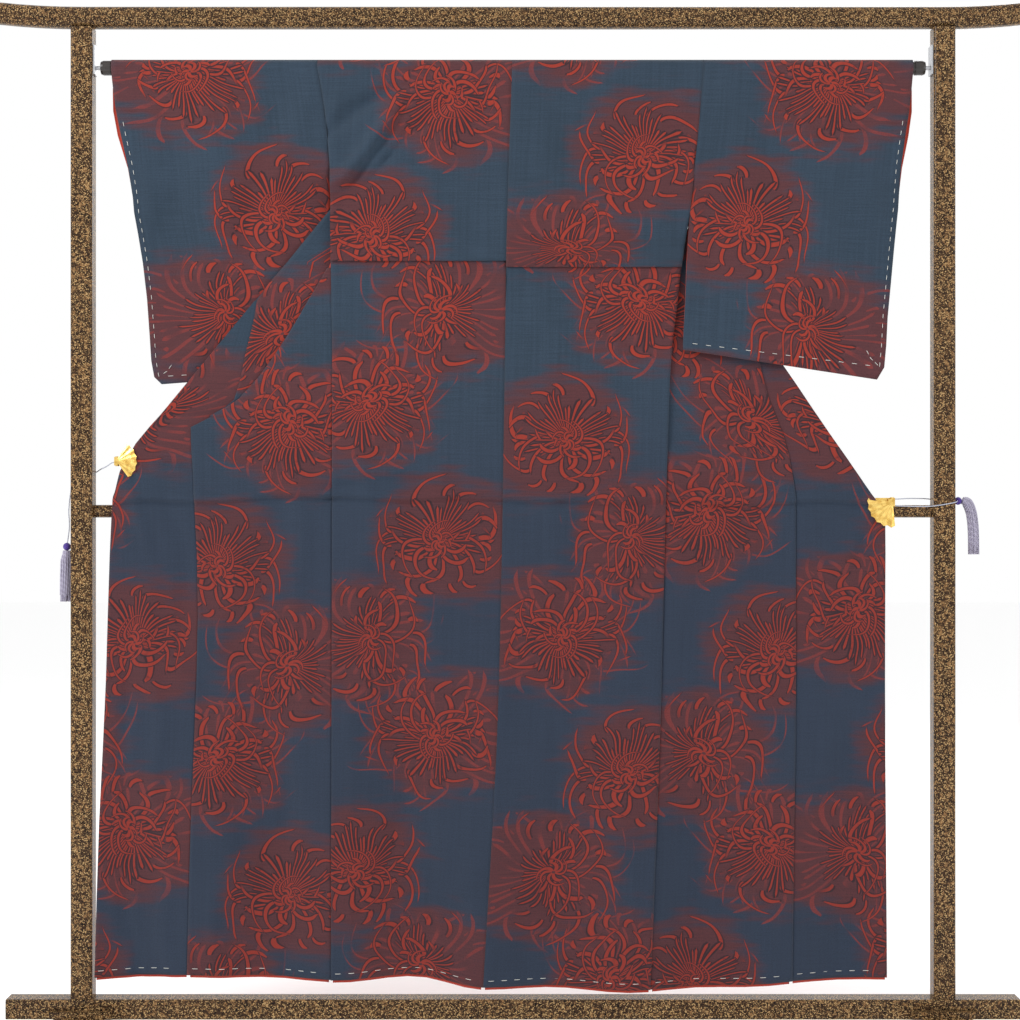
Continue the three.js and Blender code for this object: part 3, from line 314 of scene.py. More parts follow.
def refined(grid, row_steps, col_steps):
    """Each cell of a grid cut along straight lines, into a number of steps or at the places given."""
    def along(points, steps):
        at = steps if np.ndim(steps) else np.arange((len(points) - 1) * steps + 1) / steps
        low = np.minimum(at.astype(int), len(points) - 2)
        share = (at - low).reshape(-1, *[1] * (points.ndim - 1))
        a, b = points[low], points[low + 1]
        return np.where(share <= 0, a, np.where(share >= 1, b, a + (b - a) * share))
    return np.swapaxes(along(np.swapaxes(along(grid, row_steps), 0, 1), col_steps), 0, 1)


# Meshes

def corners(values):
    """A grid's values at the four corners of each cell, in order round it."""
    return np.stack([values[:-1, :-1], values[:-1, 1:], values[1:, 1:], values[1:, :-1]], axis=-2)


def sheet_mesh(name, grid, flat, flip=False, cut=None):
    """A sheet through a grid of points, in millimetres, with one quad for each cell that has its four
    corners and isn't cut. "flat" holds each cell corner's place on the flat cloth, in metres."""
    rows, cols = grid.shape[:2]
    quads = corners(np.arange(rows * cols).reshape(rows, cols, 1))[..., 0]
    whole = corners(np.isfinite(grid[..., :1])).all(axis=(-2, -1))
    if cut is not None:
        whole &= ~cut
    if flat.ndim == 3:
        flat = corners(flat)
    quads, places = quads[whole], flat[whole]
    if flip:
        quads, places = quads[:, ::-1], places[:, ::-1]
    used, faces = np.unique(quads, return_inverse=True)
    return mesh_piece(name, grid.reshape(-1, 3)[used] * MM, faces.reshape(quads.shape), places.reshape(-1, 2))


def mesh_piece(name, points, faces, places=None):
    """A smooth-shaded mesh object of points in metres and faces of one size, with its flat places."""
    mesh = bpy.data.meshes.new(name)
    faces = faces if isinstance(faces, list) else faces.tolist()
    mesh.from_pydata(np.asarray(points, float).tolist(), [], faces)
    if places is not None:
        layer = mesh.uv_layers.new(name="flat")
        layer.data.foreach_set("uv", np.asarray(places, np.float32).ravel())
    mesh.polygons.foreach_set("use_smooth", np.ones(len(mesh.polygons), bool))
    mesh.update()
    piece = bpy.data.objects.new(name, mesh)
    bpy.context.scene.collection.objects.link(piece)
    return piece


def walled(piece, wall, inner_material=0):
    """Gives a sheet its wall, half to each side. The inner side takes the material that many slots on."""
    thick = piece.modifiers.new("wall", "SOLIDIFY")
    thick.thickness = wall * MM
    thick.offset = 0
    thick.material_offset = inner_material
    return piece


def tube_mesh(path, radius, sides):
    """A closed tube: a ring of points round each point of the path, with "radius" a number or one value
    for each, and both ends closed by a fan."""
    path = np.asarray(path, float)
    tangent = np.gradient(path, axis=0)
    tangent /= np.linalg.norm(tangent, axis=1, keepdims=True)
    up = np.where(np.abs(tangent[:, 2:3]) > 0.9, [[0.0, 1.0, 0.0]], [[0.0, 0.0, 1.0]])
    if np.ptp(up[:, 2]) > 0:
        up = np.tile([[0.0, 1.0, 0.0]], (len(path), 1))
    first = np.cross(tangent, up)
    first /= np.linalg.norm(first, axis=1, keepdims=True)
    second = np.cross(tangent, first)
    turn = np.linspace(0, 2 * np.pi, sides, endpoint=False)[None, :, None]
    width = np.broadcast_to(radius, (len(path),))[:, None, None]
    rings = path[:, None] + width * (np.cos(turn) * first[:, None] + np.sin(turn) * second[:, None])
    return closed_rings(rings, path[0], path[-1])


def closed_rings(rings, start, end):
    """Points and faces of a closed skin over rings of points, with a point at each end."""
    count, sides = rings.shape[:2]
    number = np.arange(count * sides).reshape(count, sides)
    after = np.roll(number, -1, axis=1)
    quads = np.stack([number[:-1], number[1:], after[1:], after[:-1]], axis=-1).reshape(-1, 4)
    first, last = count * sides, count * sides + 1
    cap_a = np.stack([after[0], np.full(sides, first), number[0]], axis=-1)
    cap_b = np.stack([number[-1], np.full(sides, last), after[-1]], axis=-1)
    points = np.concatenate([rings.reshape(-1, 3), [start], [end]])
    return points, quads.tolist() + cap_a.tolist() + cap_b.tolist()


def merged(parts):
    """One list of points and one of faces from several."""
    points, faces, offset = [], [], 0
    for part_points, part_faces in parts:
        points.append(np.asarray(part_points))
        faces += [[v + offset for v in face] for face in part_faces]
        offset += len(part_points)
    return np.concatenate(points), faces


# Body cloths: one sheet each, from the back hem over the rod to the front hem

LAYER_COLS = 6
TURN_COLS = 2
NECK_COLS = 2
ROD_STEPS = 6
MIDDLE_LAYER = LAYER_COLS + TURN_COLS
INNER_LAYER = MIDDLE_LAYER + LAYER_COLS + TURN_COLS
NECK_COLUMN = MIDDLE_LAYER + LAYER_COLS
ROW_STEP = 8  # millimetres between a cloth's rows when cut finer
COL_FINE = 7
FRONT_START = 30  # where a front's side seam lies on its flat cloth
SEAM_DENT, DENT_WIDTH = 0.9, 5
ROD_ANGLES = [math.pi * (1 - k / ROD_STEPS) for k in range(ROD_STEPS + 1)]


def laid_over_rod(row, angle):
    """A row of points moved to an angle round the rod: pi on the near side and 0 on the far one."""
    row[:, 1] = CLOTH_RADIUS * math.cos(angle)
    row[:, 2] = ROD_HEIGHT + CLOTH_RADIUS * math.sin(angle)
    return row


def turn_reach(line, down):
    """How far a fold's turn spreads across: more where its line runs aslant."""
    return FOLD_RADIUS * math.hypot(1, (line(down + 4) - line(down - 4)) / 8)


def front_row(side, down):
    """One row of the front in up to three layers joined by turns, and each point's distance across the
    flat cloth from the side seam."""
    row = np.full((INNER_LAYER + side.inner_cols + 1, 2), np.nan)
    start = side.side(down) - SEAM_LAP * smooth(side.tuck, side.tuck + 20, down)
    outer, inner, seam = side.outer(down), side.inner(down), side.seam(down)
    outer_reach, inner_reach = turn_reach(side.outer, down), turn_reach(side.inner, down)
    y = side.front_y(down)

    def layer(col, count, begin, end, depth):
        row[col:col + count + 1, 0] = np.linspace(begin, end, count + 1)
        row[col:col + count + 1, 1] = depth

    pleated = down >= side.pleat_top
    if down > side.fold_end:
        if pleated:
            layer(0, LAYER_COLS, start, seam, y)
        else:
            layer(INNER_LAYER, side.inner_cols, start, seam, y)
    else:
        middle = y + FOLD_PITCH if pleated else y
        begin = outer - outer_reach if pleated else start
        if pleated:
            layer(0, LAYER_COLS, start, begin, y)
            row[MIDDLE_LAYER - 1] = outer, y + FOLD_RADIUS
        layer(MIDDLE_LAYER, LAYER_COLS, begin, inner + inner_reach, middle)
        row[INNER_LAYER - 1] = inner, middle + FOLD_RADIUS
        layer(INNER_LAYER, side.inner_cols, inner + inner_reach, seam, middle + FOLD_PITCH)
    known = np.isfinite(row[:, 0])
    step = np.abs(np.diff(row[known, 0], prepend=row[known, 0][:1]))
    across = np.full(len(row), np.nan)
    across[known] = np.cumsum(step)
    return placed(side.way * row[:, 0], row[:, 1], down), across


def back_row(side, down, y):
    """One row of the back, from the side seam to the centre seam."""
    row = np.full((INNER_LAYER + side.inner_cols + 1, 3), np.nan)
    centre = float(seam_x(down))
    edge = side.way * side.side(down)
    even = mix(centre, edge, NECK_COLS / (NECK_COLS + LAYER_COLS))
    neck = mix(side.way * NECK_OUT, even, smooth(60, 300, down))
    inward = np.linspace(neck, centre, NECK_COLS + 1)[1:]
    x = np.concatenate([np.linspace(edge, neck, LAYER_COLS + 1), inward])
    row[MIDDLE_LAYER:NECK_COLUMN + NECK_COLS + 1] = placed(x, y, down)
    return row


def body_cloth(side):
    """The grid of one body cloth from rows worked out at the tables' heights, cut finer, with its creases
    and the dents along its seams put in. Its flat place is (across, down) less the flowers' start."""
    lines = [*BACK_LINES, *LOW_LINES][::-1]
    plan = [(down, side.back_y(down), down + TUCK_TAKES[side.name]) for down in lines if down > side.tuck]
    y = back_depth(side.tuck)
    tuck_plan = ((TUCK_EASE / 3, 1.5, 20), (2, 2, 2), (-TUCK_RISE, 2, -20), (-TUCK_RISE - 1.2, 1.5, -22),
                 (-TUCK_RISE, 1, -23), (-1.2, 1, -40), (0.4, 0.5, -41), (-1, 0, -43))
    for lower, layer, cloth in tuck_plan:
        plan.append((side.tuck + lower, y + layer * TUCK_PITCH, side.tuck + TUCK_TAKES[side.name] + cloth))
    plan += [(down, side.back_y(down), down) for down in lines if down < side.tuck]
    back = [back_row(side, down, depth) for down, depth, _ in plan]
    along = [cloth for _, _, cloth in plan]
    for angle in ROD_ANGLES:
        back.append(laid_over_rod(back_row(side, 0, 0), angle))
        along.append(CLOTH_RADIUS * (angle - math.pi))
    neck_row = len(back) - 1
    fronts = [front_row(side, down) for down in side.row_lines]
    gaps = np.abs(np.concatenate([np.diff(along), np.diff(side.row_lines, prepend=0)]))
    row_at = cuts(gaps, ROW_STEP)
    grid = refined(np.stack(back + [points for points, _ in fronts]), row_at, COL_FINE)
    side_line = side.way * side.side(ROD_HEIGHT - grid[..., 2])
    down_line = ROD_HEIGHT - grid[..., 2]
    is_back = row_at <= neck_row - ROD_STEPS / 2

    v_back = np.interp(row_at, np.arange(neck_row + 1), along) - FLOWER_START["back_" + side.name]
    across = np.stack([np.full(fronts[0][1].shape, np.nan)] * (neck_row + 1) + [part for _, part in fronts])
    across = refined(across, row_at, COL_FINE)
    centre = np.abs(grid[..., 0] - seam_x(down_line))
    flat_back = np.stack([centre, np.broadcast_to(v_back[:, None], centre.shape)], axis=-1)
    w = np.where(np.isfinite(across), across, np.abs(side_line - grid[..., 0]))
    on_rod = (np.pi * CLOTH_RADIUS * (row_at - neck_row) / ROD_STEPS)[:, None]
    v_front = np.where(on_rod < 0, on_rod, down_line) - FLOWER_START["front_" + side.name]
    flat_front = np.stack([w + FRONT_START, v_front], axis=-1)
    flat = np.where(is_back[:, None, None], flat_back, flat_front)
    places = np.where(is_back[1:, None, None, None], corners(flat), corners(flat_front))

    near = smooth(12, 60, down_line)
    sewn = smooth(side.tuck - 10, side.tuck + 40, down_line)
    lift = crease(COMMON_CREASES, grid[..., 0], down_line)
    lift += np.where(is_back[:, None], crease(BACK_CREASES, grid[..., 0], down_line) * (1 - sewn), 0)
    dent = np.where(is_back[:, None], SEAM_DENT * np.exp(-(centre / DENT_WIDTH) ** 2), 0)
    grid = grid + np.stack([0 * lift, near * (lift + dent), 0 * lift], axis=-1)
    over_neck = (row_at[:-1] >= neck_row) & (row_at[:-1] < neck_row + 1)
    cut = over_neck[:, None] & (np.arange(grid.shape[1] - 1) >= NECK_COLUMN * COL_FINE)
    piece = sheet_mesh("body_cloth_" + side.name, grid, places * MM, flip=side.way > 0, cut=cut)
    above = np.searchsorted(row_at, (1, len(gaps) - 1))
    return walled(piece, SHELL, 1), grid[[0, above[0]]], grid[[-1, above[1]]]


HEM_TURN = 1.5  # how much more of the lining turns in below the part that shows


def hem_strip(name, upper, lower, inset, flip):
    """The red strip inside a hem: a panel's last two rows moved behind it, with a little more length."""
    def inside(row):
        row = row[np.isfinite(row[:, 0])]
        first, last = row[1] - row[0], row[-2] - row[-1]
        row = row.copy()
        row[0] += first / np.linalg.norm(first) * inset
        row[-1] += last / np.linalg.norm(last) * inset
        return row + [0, HEM_BEHIND, 0]
    top, hem = inside(upper), inside(lower)
    below = hem + (hem - top) * (HEM_SHOW + HEM_TURN) / HEM_BAND
    grid = refined(np.stack([top, hem, below]), 3, 1)
    flat = grid[..., [0, 2]]
    return walled(sheet_mesh(name, grid, flat * MM, flip), LINING_WALL)


cloths, linings = {}, {}
for side in SIDES.values():
    cloths["body_" + side.name], (back_hem, back_above), (front_hem, front_above) = body_cloth(side)
    linings["hem_lining_back_" + side.name] = hem_strip(
        "hem_strip_back_" + side.name, back_above, back_hem, HEM_INSET, side.way < 0)
    linings["hem_lining_front_" + side.name] = hem_strip(
        "hem_strip_front_" + side.name, front_above, front_hem, 2 * HEM_INSET, side.way > 0)


# Okumi: the front overlap panels

OKUMI_COLS = 4
OKUMI_FINE = 8
OKUMI_SEAM = 4  # how far its seam lies from its flat cloth's edge
FOLD_TUCK = 7.0  # how far the panel reaches behind the fold where that ends
for side in SIDES.values():
    downs = [side.tip] + [down for down in side.row_lines if down > side.tip + 12]
    row_at = cuts(np.diff(downs), ROW_STEP)
    rows, across = [], []
    for down in downs:
        start = side.seam(down) - SEAM_LAP
        tucked = FOLD_TUCK if 0 <= side.fold_end - down < 12 else 0
        x = np.linspace(start - tucked, max(side.edge(down), start + 5), OKUMI_COLS + 1)
        rows.append(placed(side.way * x, side.okumi_depth(down), down))
        across.append(x - start - OKUMI_SEAM)
    grid = refined(np.stack(rows), row_at, OKUMI_FINE)
    u = refined(np.stack(across), row_at, OKUMI_FINE)
    down_line = ROD_HEIGHT - grid[..., 2]
    grid[..., 1] += crease(COMMON_CREASES, grid[..., 0], down_line)
    flat = np.stack([u, down_line - FLOWER_START["okumi_" + side.name]], axis=-1)
    piece = sheet_mesh("okumi_cloth_" + side.name, grid, flat * MM, flip=side.way > 0)
    cloths["okumi_" + side.name] = walled(piece, SHELL, 1)
    linings["hem_lining_okumi_" + side.name] = hem_strip(
        "hem_strip_okumi_" + side.name, grid[np.searchsorted(row_at, len(downs) - 2)], grid[-1], HEM_INSET,
        side.way < 0)


# Collar: a strip folded double behind the front edges, and round the neck beyond the rod

OVER_COLLAR_END = 283.0
COLLAR_SHARES = (0, 0.5, 1)
NECK_SHARES = (-0.66, -0.33, 0, 0.33, 0.66)
NECK_RISE = 3  # how far the strip stands above the rod's centre line at the neck
COLLAR_INSET = 20


def collar_section(side, down):
    """Across the strip at one place: straight down at the neck, square to the front edge further on."""
    settle = float(smooth(0, 60, down))
    angle = math.atan(side.slope)
    outward = float(side.edge(down)) - 0.5
    points = []
    for share in COLLAR_SHARES:
        across = COLLAR_WIDTH * share
        lower = down + across * mix(1, math.sin(angle), settle)
        out = outward - across * math.cos(angle) * settle
        points.append((side.way * out, side.collar_depth(lower), ROD_HEIGHT - lower))
    return points


def collar_sections(side, start, end):
    """The strip's sections from one distance down to another, at the front's own lines between."""
    downs = [start] + [down for down in side.lines if start + 10 < down < end - 15] + [end]
    return [collar_section(side, down) for down in downs]


def collar_cloth(name, sections):
    """The strip through its sections, folded double, with its flat place along and across it."""
    grid = refined(np.array(sections), 4, 6)
    length = np.linalg.norm(np.diff(grid[:, 0], axis=0, prepend=grid[:1, 0]), axis=1).cumsum()
    across = np.linspace(COLLAR_INSET, COLLAR_INSET + COLLAR_WIDTH, grid.shape[1])
    flat = np.stack(np.broadcast_arrays(across[None], length[:, None]), axis=-1)
    grid[..., 1] += crease(COMMON_CREASES, grid[..., 0], ROD_HEIGHT - grid[..., 2])
    return walled(sheet_mesh(name, grid, flat * MM), COLLAR_WALL - 0.3)


neck = [[(share * NECK_OUT, CLOTH_RADIUS + COLLAR_PITCH, ROD_HEIGHT + NECK_RISE - COLLAR_WIDTH * t)
         for t in COLLAR_SHARES] for share in NECK_SHARES]
arms = {name: collar_sections(side, side.lines[0], OVER_COLLAR_END) for name, side in SIDES.items()}
cloths["collar"] = collar_cloth("collar_cloth", arms["left"][::-1] + neck + arms["right"])
for side in SIDES.values():
    cloths["collar_end_" + side.name] = collar_cloth(
        "collar_end_cloth_" + side.name, collar_sections(side, OVER_COLLAR_END, side.collar_end))


# Sleeves: one cloth over the rod, sewn along the bottom and along the outer edge below the mouth

SLEEVES = {
    "left": dict(
        rows=[  # inner_down, outer_down, inner_in, outer, near_in, near_out, far_in, far_out, far_more
            (0, 0, 0, 661, -CLOTH_RADIUS, -CLOTH_RADIUS, CLOTH_RADIUS, CLOTH_RADIUS, 0),
            (68, 68, 0, 654, -13.4, -9, 10, 12, 8), (134, 134, 0, 641, -13.4, -4, 8, 10, 8),
            (172, 176, 0, 633, -13.4, 1.6, 3.4, 6.8, 0), (205, 212, 0, 628, -1, 3, 9, 4.9, 0),
            (228, 238, 0, 626, 7.4, 4.4, 12, 6.3, 0), (286, 297, 12, 615, 9.8, 5, 13.8, 6.9, 0),
            (390, 400, 24, 603, 9.8, 5, 13.4, 6.9, 0), (476, 492, 35, 597, 7, 5, 9, 6.9, 0),
            (490, 512, 37, 592, 6, 6, 7.9, 7.9, 0), (497, 521, 38, 581, 6, 6, 7.9, 7.9, 0)],
        lines=(34, 68, 110, 160, 205, 228, 262, 310, 370, 430, 468, 488, 497)),
    "right": dict(
        rows=[
            (0, 0, 0, 658, -CLOTH_RADIUS, -CLOTH_RADIUS, CLOTH_RADIUS, CLOTH_RADIUS, 0),
            (68, 70, 0, 652, -13.4, -10, 11.5, 11, 8), (134, 136, 0, 642, -13.4, -8, 11, 6, 8),
            (180, 184, 0, 637, -13.5, -5.4, 10.6, -2.4, 0), (222, 230, 0, 634, -13.6, -8, 9.4, -6.1, 0),
            (250, 266, 0, 630, -15, -9, 4, -7.1, 0), (292, 313, -4, 625, -19, -11, -7, -9.1, 0),
            (338, 364, -8, 620, -23, -13, -16.5, -11.1, 0),
            (398, 426, -12, 614, -27, -15, -22.5, -13.1, 0),
            (450, 484, -16, 611, -28, -17, -25.4, -15.1, 0),
            (459, 504, -17, 606, -28, -17.6, -26.1, -15.7, 0),
            (467, 515, -18, 597, -28, -18, -26.1, -16.1, 0)],
        lines=(34, 68, 110, 160, 205, 225, 245, 283, 330, 385, 430, 455, 467)),
}
ROW_FINE = 3
SLEEVE_COLS = 7
SLEEVE_COL_FINE = 6
SLEEVE_SEAM = 10  # how far its inner edge lies from its flat cloth's edge
SLEEVE_PILLOW = 2.4
MOUTH_ROWS = 4
LINING_IN = HALF + GAP + LINING_WALL / 2
MOUTH_COLS = 7
SLEEVE_APART = 1.8


class Sleeve:
    """One sleeve's lines as functions of the distance down its inner edge."""

    def __init__(self, name, rows, lines):
        self.side, self.lines, self.length = SIDES[name], lines, rows[-1][0]
        (self.outer_down, self.inner_in, self.outer, self.near_in, self.near_out, self.far_in, self.far_out,
         self.far_more) = [column(rows, k) for k in range(1, 9)]

    def row(self, down, far):
        """A row of points from the inner to the outer edge, swelling between its edges."""
        u = np.linspace(0, 1, SLEEVE_COLS + 1)
        inner = self.side.side(down) - self.inner_in(down)
        outer = self.outer(down) + (self.far_more(down) if far else 0)
        ends = (self.far_in(down), self.far_out(down)) if far else (self.near_in(down), self.near_out(down))
        share = down / self.length
        belly = 4 * u * (1 - u) * SLEEVE_PILLOW * smooth(0.06, 0.3, share) * (1 - smooth(0.8, 0.96, share))
        x = self.side.way * mix(inner, outer, u)
        y = mix(*ends, u) + (belly if far else -belly)
        return np.stack([x, y, ROD_HEIGHT - mix(down, self.outer_down(down), u)], -1)

    def grid(self):
        """The rows from the near bottom edge over the rod to the far one, with each row's distance down,
        negative on the near side, and its place along the flat cloth."""
        over = [laid_over_rod(self.row(0, True), angle) for angle in ROD_ANGLES]
        near = [self.row(down, False) for down in self.lines]
        far = [self.row(down, True) for down in self.lines]
        along = [-down for down in self.lines[::-1]] + [0] * (ROD_STEPS + 1) + list(self.lines)
        arc = np.clip(np.arange(len(along)) - len(near), 0, ROD_STEPS) * math.pi * CLOTH_RADIUS / ROD_STEPS
        return np.stack(near[::-1] + over + far), np.stack([along, along + arc], axis=-1)


SLEEVES = {name: Sleeve(name, **facts) for name, facts in SLEEVES.items()}
sleeve_grids = {}
for name, sleeve in SLEEVES.items():
    coarse, along = sleeve.grid()
    grid = refined(coarse, ROW_FINE, SLEEVE_COL_FINE)
    along, cloth_at = refined(along, ROW_FINE, 1).T
    down_line = ROD_HEIGHT - grid[..., 2]
    near = (along < 0)[:, None] & np.ones(grid.shape[:2], bool)
    edge = np.linspace(0, 1, grid.shape[1])[None]
    inside = smooth(0, 0.1, edge) * smooth(0, 0.1, 1 - edge) * smooth(14, 70, down_line)
    inside *= 1 - smooth(sleeve.length - 40, sleeve.length - 6, np.abs(along))[:, None]
    lift = crease(SLEEVE_CREASES, grid[..., 0], down_line) * inside
    grid[..., 1] += np.where(near, lift, -0.4 * lift)
    grid[..., 1] = np.where(near, np.minimum(grid[..., 1], grid[::-1, :, 1] - SLEEVE_APART), grid[..., 1])
    sleeve_grids[name] = grid
    across = np.abs(grid[..., 0]) - np.abs(grid[:, :1, 0])
    v = np.broadcast_to(-cloth_at[:, None], across.shape)
    flat = np.stack([across + SLEEVE_SEAM, v - FLOWER_START["sleeve_" + name]], axis=-1)
    piece = sheet_mesh("sleeve_cloth_" + name, grid, flat * MM, flip=sleeve.side.way < 0)
    cloths["sleeve_" + name] = walled(piece, SHELL, 1)

    middle, reach = len(sleeve.lines) + ROD_STEPS // 2, MOUTH_ROWS + ROD_STEPS // 2
    strip = grid[(middle - reach) * ROW_FINE:(middle + reach) * ROW_FINE + 1, -MOUTH_COLS:].copy()
    turned = np.clip((np.arange(len(strip)) / ROW_FINE - MOUTH_ROWS) / ROD_STEPS, 0, 1)
    angle = np.pi * (1 - turned)
    strip -= LINING_IN * np.stack([0 * angle, np.cos(angle), np.sin(angle)], -1)[:, None]
    linings["mouth_lining_" + name] = walled(
        sheet_mesh("mouth_strip_" + name, strip, strip[..., [0, 2]] * MM, sleeve.side.way > 0), LINING_WALL)


# Basting: short straight stitches of pale thread on the outer face

THREAD = 0.45  # the thread's radius
STITCH_ARCH = 0.35  # how far a stitch's middle stands before its ends
STITCH_LIFT, CORNER_LIFT = HALF + 0.25, HALF + 0.4  # how far before the sleeve's middle surface
STITCH_DOWN = HEM_DOWN - 11
STITCH_DEPTH = 1490.0  # the distance down at which the hem stitches' depth is taken
MOUTH_STITCH, BOTTOM_STITCH, CORNER_STITCH, HEM_STITCH = (7, 9), (8, 14), (7, 5), (9, 13)  # long, gap


def stitches(path, long, gap):
    """Thin four-sided tubes along a path of points in millimetres, each "long", with "gap" between."""
    path = np.asarray(path, float)
    length = np.linalg.norm(np.diff(path, axis=0), axis=1)
    at = np.concatenate([[0], np.cumsum(length)])
    starts = np.arange(0, at[-1] - long, long + gap)
    parts = []
    for start in starts:
        places = np.array([start, start + long * 0.3, start + long * 0.7, start + long])
        points = np.stack([np.interp(places, at, path[:, k]) for k in range(3)], axis=-1)
        points[[1, 2], 1] -= STITCH_ARCH
        parts.append(tube_mesh(points * MM, THREAD * MM, 4))
    return parts


def on_grid(grid, rows, cols):
    """Points along a run of cells, moved out to just before the cloth's near face."""
    return grid[rows, cols] - [0, STITCH_LIFT, 0]


parts = {"left": [], "right": []}
for name, sleeve in SLEEVES.items():
    grid = sleeve_grids[name]
    count = len(sleeve.lines) * ROW_FINE
    cols = grid.shape[1]
    rows = np.arange(3, count - 6)
    parts[name] += stitches(on_grid(grid, rows, np.full(len(rows), cols - 2)), *MOUTH_STITCH)
    across = np.arange(2, cols - 2)
    parts[name] += stitches(on_grid(grid, np.full(len(across), 3), across), *BOTTOM_STITCH)
    corner = [grid[5, cols - 5], grid[4, cols - 4], grid[3, cols - 2]]
    parts[name] += stitches(np.array(corner) - [0, CORNER_LIFT, 0], *CORNER_STITCH)
basting = {}
for name in parts:
    points, faces = merged(parts[name])
    basting[name] = mesh_piece("basting_sleeve_" + name, points, faces)

hem_parts = []
for low, high, fold in ((-686, -534, "okumi"), (-530, -298, "front"), (-296, -53, "back"), (-46, 222, "back"),
                        (227, 455, "front"), (459, 611, "okumi")):
    x = np.arange(low + 6, high - 4, 6.0)
    side = SIDES["left" if x.mean() < -40 else "right"]
    depth = {"okumi": side.okumi_depth, "front": side.front_y, "back": side.back_y}[fold](STITCH_DEPTH)
    line = placed(x, depth - HALF - STITCH_ARCH, STITCH_DOWN + 0 * x)
    line[:, 1] += crease(COMMON_CREASES, x, ROD_HEIGHT - line[:, 2])
    hem_parts += stitches(line, *HEM_STITCH)
points, faces = merged(hem_parts)
basting["hem"] = mesh_piece("basting_hem", points, faces)


# Cords: smooth tubes along their listed routes

CORD_RADIUS = 0.9
CORD_SIDES = 10
CORDS = {
    "cord_left": (-1, [
        (654.4, -17, 651), (658, -16.6, 651.6), (668, -9, 657), (681, 2, 662), (688, 12, 665),
        (691.4, 18, 666), (698, 19.2, 667), (722, 19.2, 670), (727.5, 17.6, 673), (729.3, 11, 682),
        (732, 6, 704), (734, 4, 730), (733, 4, 756), (736, 4, 781.5), (737, 4, 790), (737.4, 4, 800),
        (738.2, 4, 835), (738.6, 4, 870)]),
    "cord_right_back": (1, [
        (626.4, -16, 711), (631, -15.6, 711), (650, -8, 710), (674, 6, 710), (687, 15, 710.5),
        (691.6, 18.4, 711), (700, 19.2, 711), (720, 19.2, 712), (727, 17.6, 713), (729.6, 12, 713.5),
        (731.5, 7.6, 714)]),
    "cord_right_front": (1, [
        (626.4, -19, 722), (655, -19.6, 723), (682, -19.6, 723), (700, -19.2, 721), (720, -19.2, 717.5),
        (727, -17.6, 716), (729.6, -12, 715), (731.5, -7.6, 714.3)]),
}


def smooth_path(points, steps):
    """A centripetal Catmull-Rom curve through the points, as Barry and Goldman's pyramid of linear mixes."""
    p = np.asarray(points, float)
    p = np.concatenate([[2 * p[0] - p[1]], p, [2 * p[-1] - p[-2]]])
    knots = np.concatenate([[0], np.cumsum(np.sqrt(np.linalg.norm(np.diff(p, axis=0), axis=1)))])
    pieces = []
    for i in range(1, len(p) - 2):
        t = np.linspace(knots[i], knots[i + 1], steps, endpoint=False)[:, None]
        a = [((knots[k + 1] - t) * p[k] + (t - knots[k]) * p[k + 1]) / (knots[k + 1] - knots[k])
             for k in (i - 1, i, i + 1)]
        b = [((knots[k + 2] - t) * a[j] + (t - knots[k]) * a[j + 1]) / (knots[k + 2] - knots[k])
             for j, k in enumerate((i - 1, i))]
        pieces.append(((knots[i + 1] - t) * b[0] + (t - knots[i]) * b[1]) / (knots[i + 1] - knots[i]))
    return np.concatenate(pieces + [p[-2:-1]])


def real(points, way):
    """Route points as metres in the part's frame."""
    points = np.asarray(points, float)
    return np.stack([way * points[:, 0], points[:, 1], ROD_HEIGHT - points[:, 2]], axis=-1) * MM


cords = {}
for name, (way, route) in CORDS.items():
    path = smooth_path(real(route, way), 6)
    points, faces = tube_mesh(path, CORD_RADIUS * MM, CORD_SIDES)
    cords[name] = (mesh_piece(name + "_twist", points, faces), path)


# Tassels: a bound knot, and a skirt of fine strands that lie round each other along one route

TASSELS = {
    "left": dict(way=-1, knot=(737, 4, 789.5), radius=9.4, route=[
        (737.2, 4, 795.9), (737.8, 4, 815), (738.4, 4, 840), (738.8, 4, 880)]),
    "right": dict(way=1, knot=(734.2, 0, 714), radius=8.8, route=[
        (741.4, 0, 713.6), (748, 0, 716), (755, 0, 730), (759, 0, 756), (760, 0, 802)]),
}
STRANDS = 90
STRAND_RADIUS = 0.75
GOLDEN_ANGLE = 2.39996
KNOT_RADIUS = 6.4


def strand_bundle(route, radius, way):
    """Strands along one route: strand k stands at the golden angle times k round it, at the square root of
    its share of the radius, bound tightly at the start, and each wavers a little on its own."""
    path = smooth_path(real(route, way), 4)
    tangent = np.gradient(path, axis=0)
    tangent /= np.linalg.norm(tangent, axis=1, keepdims=True)
    first = np.cross(tangent, [0, 1.0, 0])
    first /= np.linalg.norm(first, axis=1, keepdims=True)
    second = np.cross(tangent, first)
    k = np.arange(STRANDS)
    angle = k * GOLDEN_ANGLE
    reach = np.sqrt((k + 0.5) / STRANDS) * radius * MM
    share = np.linspace(0, 1, len(path))
    spread = 0.62 + 0.38 * smooth(0, 0.35, share)
    parts = []
    for a, r, seed in zip(angle, reach, k):
        waver = 0.05 * np.sin(7 * share + seed * 1.7) * share
        turned = np.cos(a + waver)[:, None] * first + np.sin(a + waver)[:, None] * second
        aside = r * spread[:, None] * turned
        stop = len(path) - (seed * 7) % 3 % 2
        parts.append(tube_mesh((path + aside)[:stop], STRAND_RADIUS * MM, 4))
    return merged(parts)


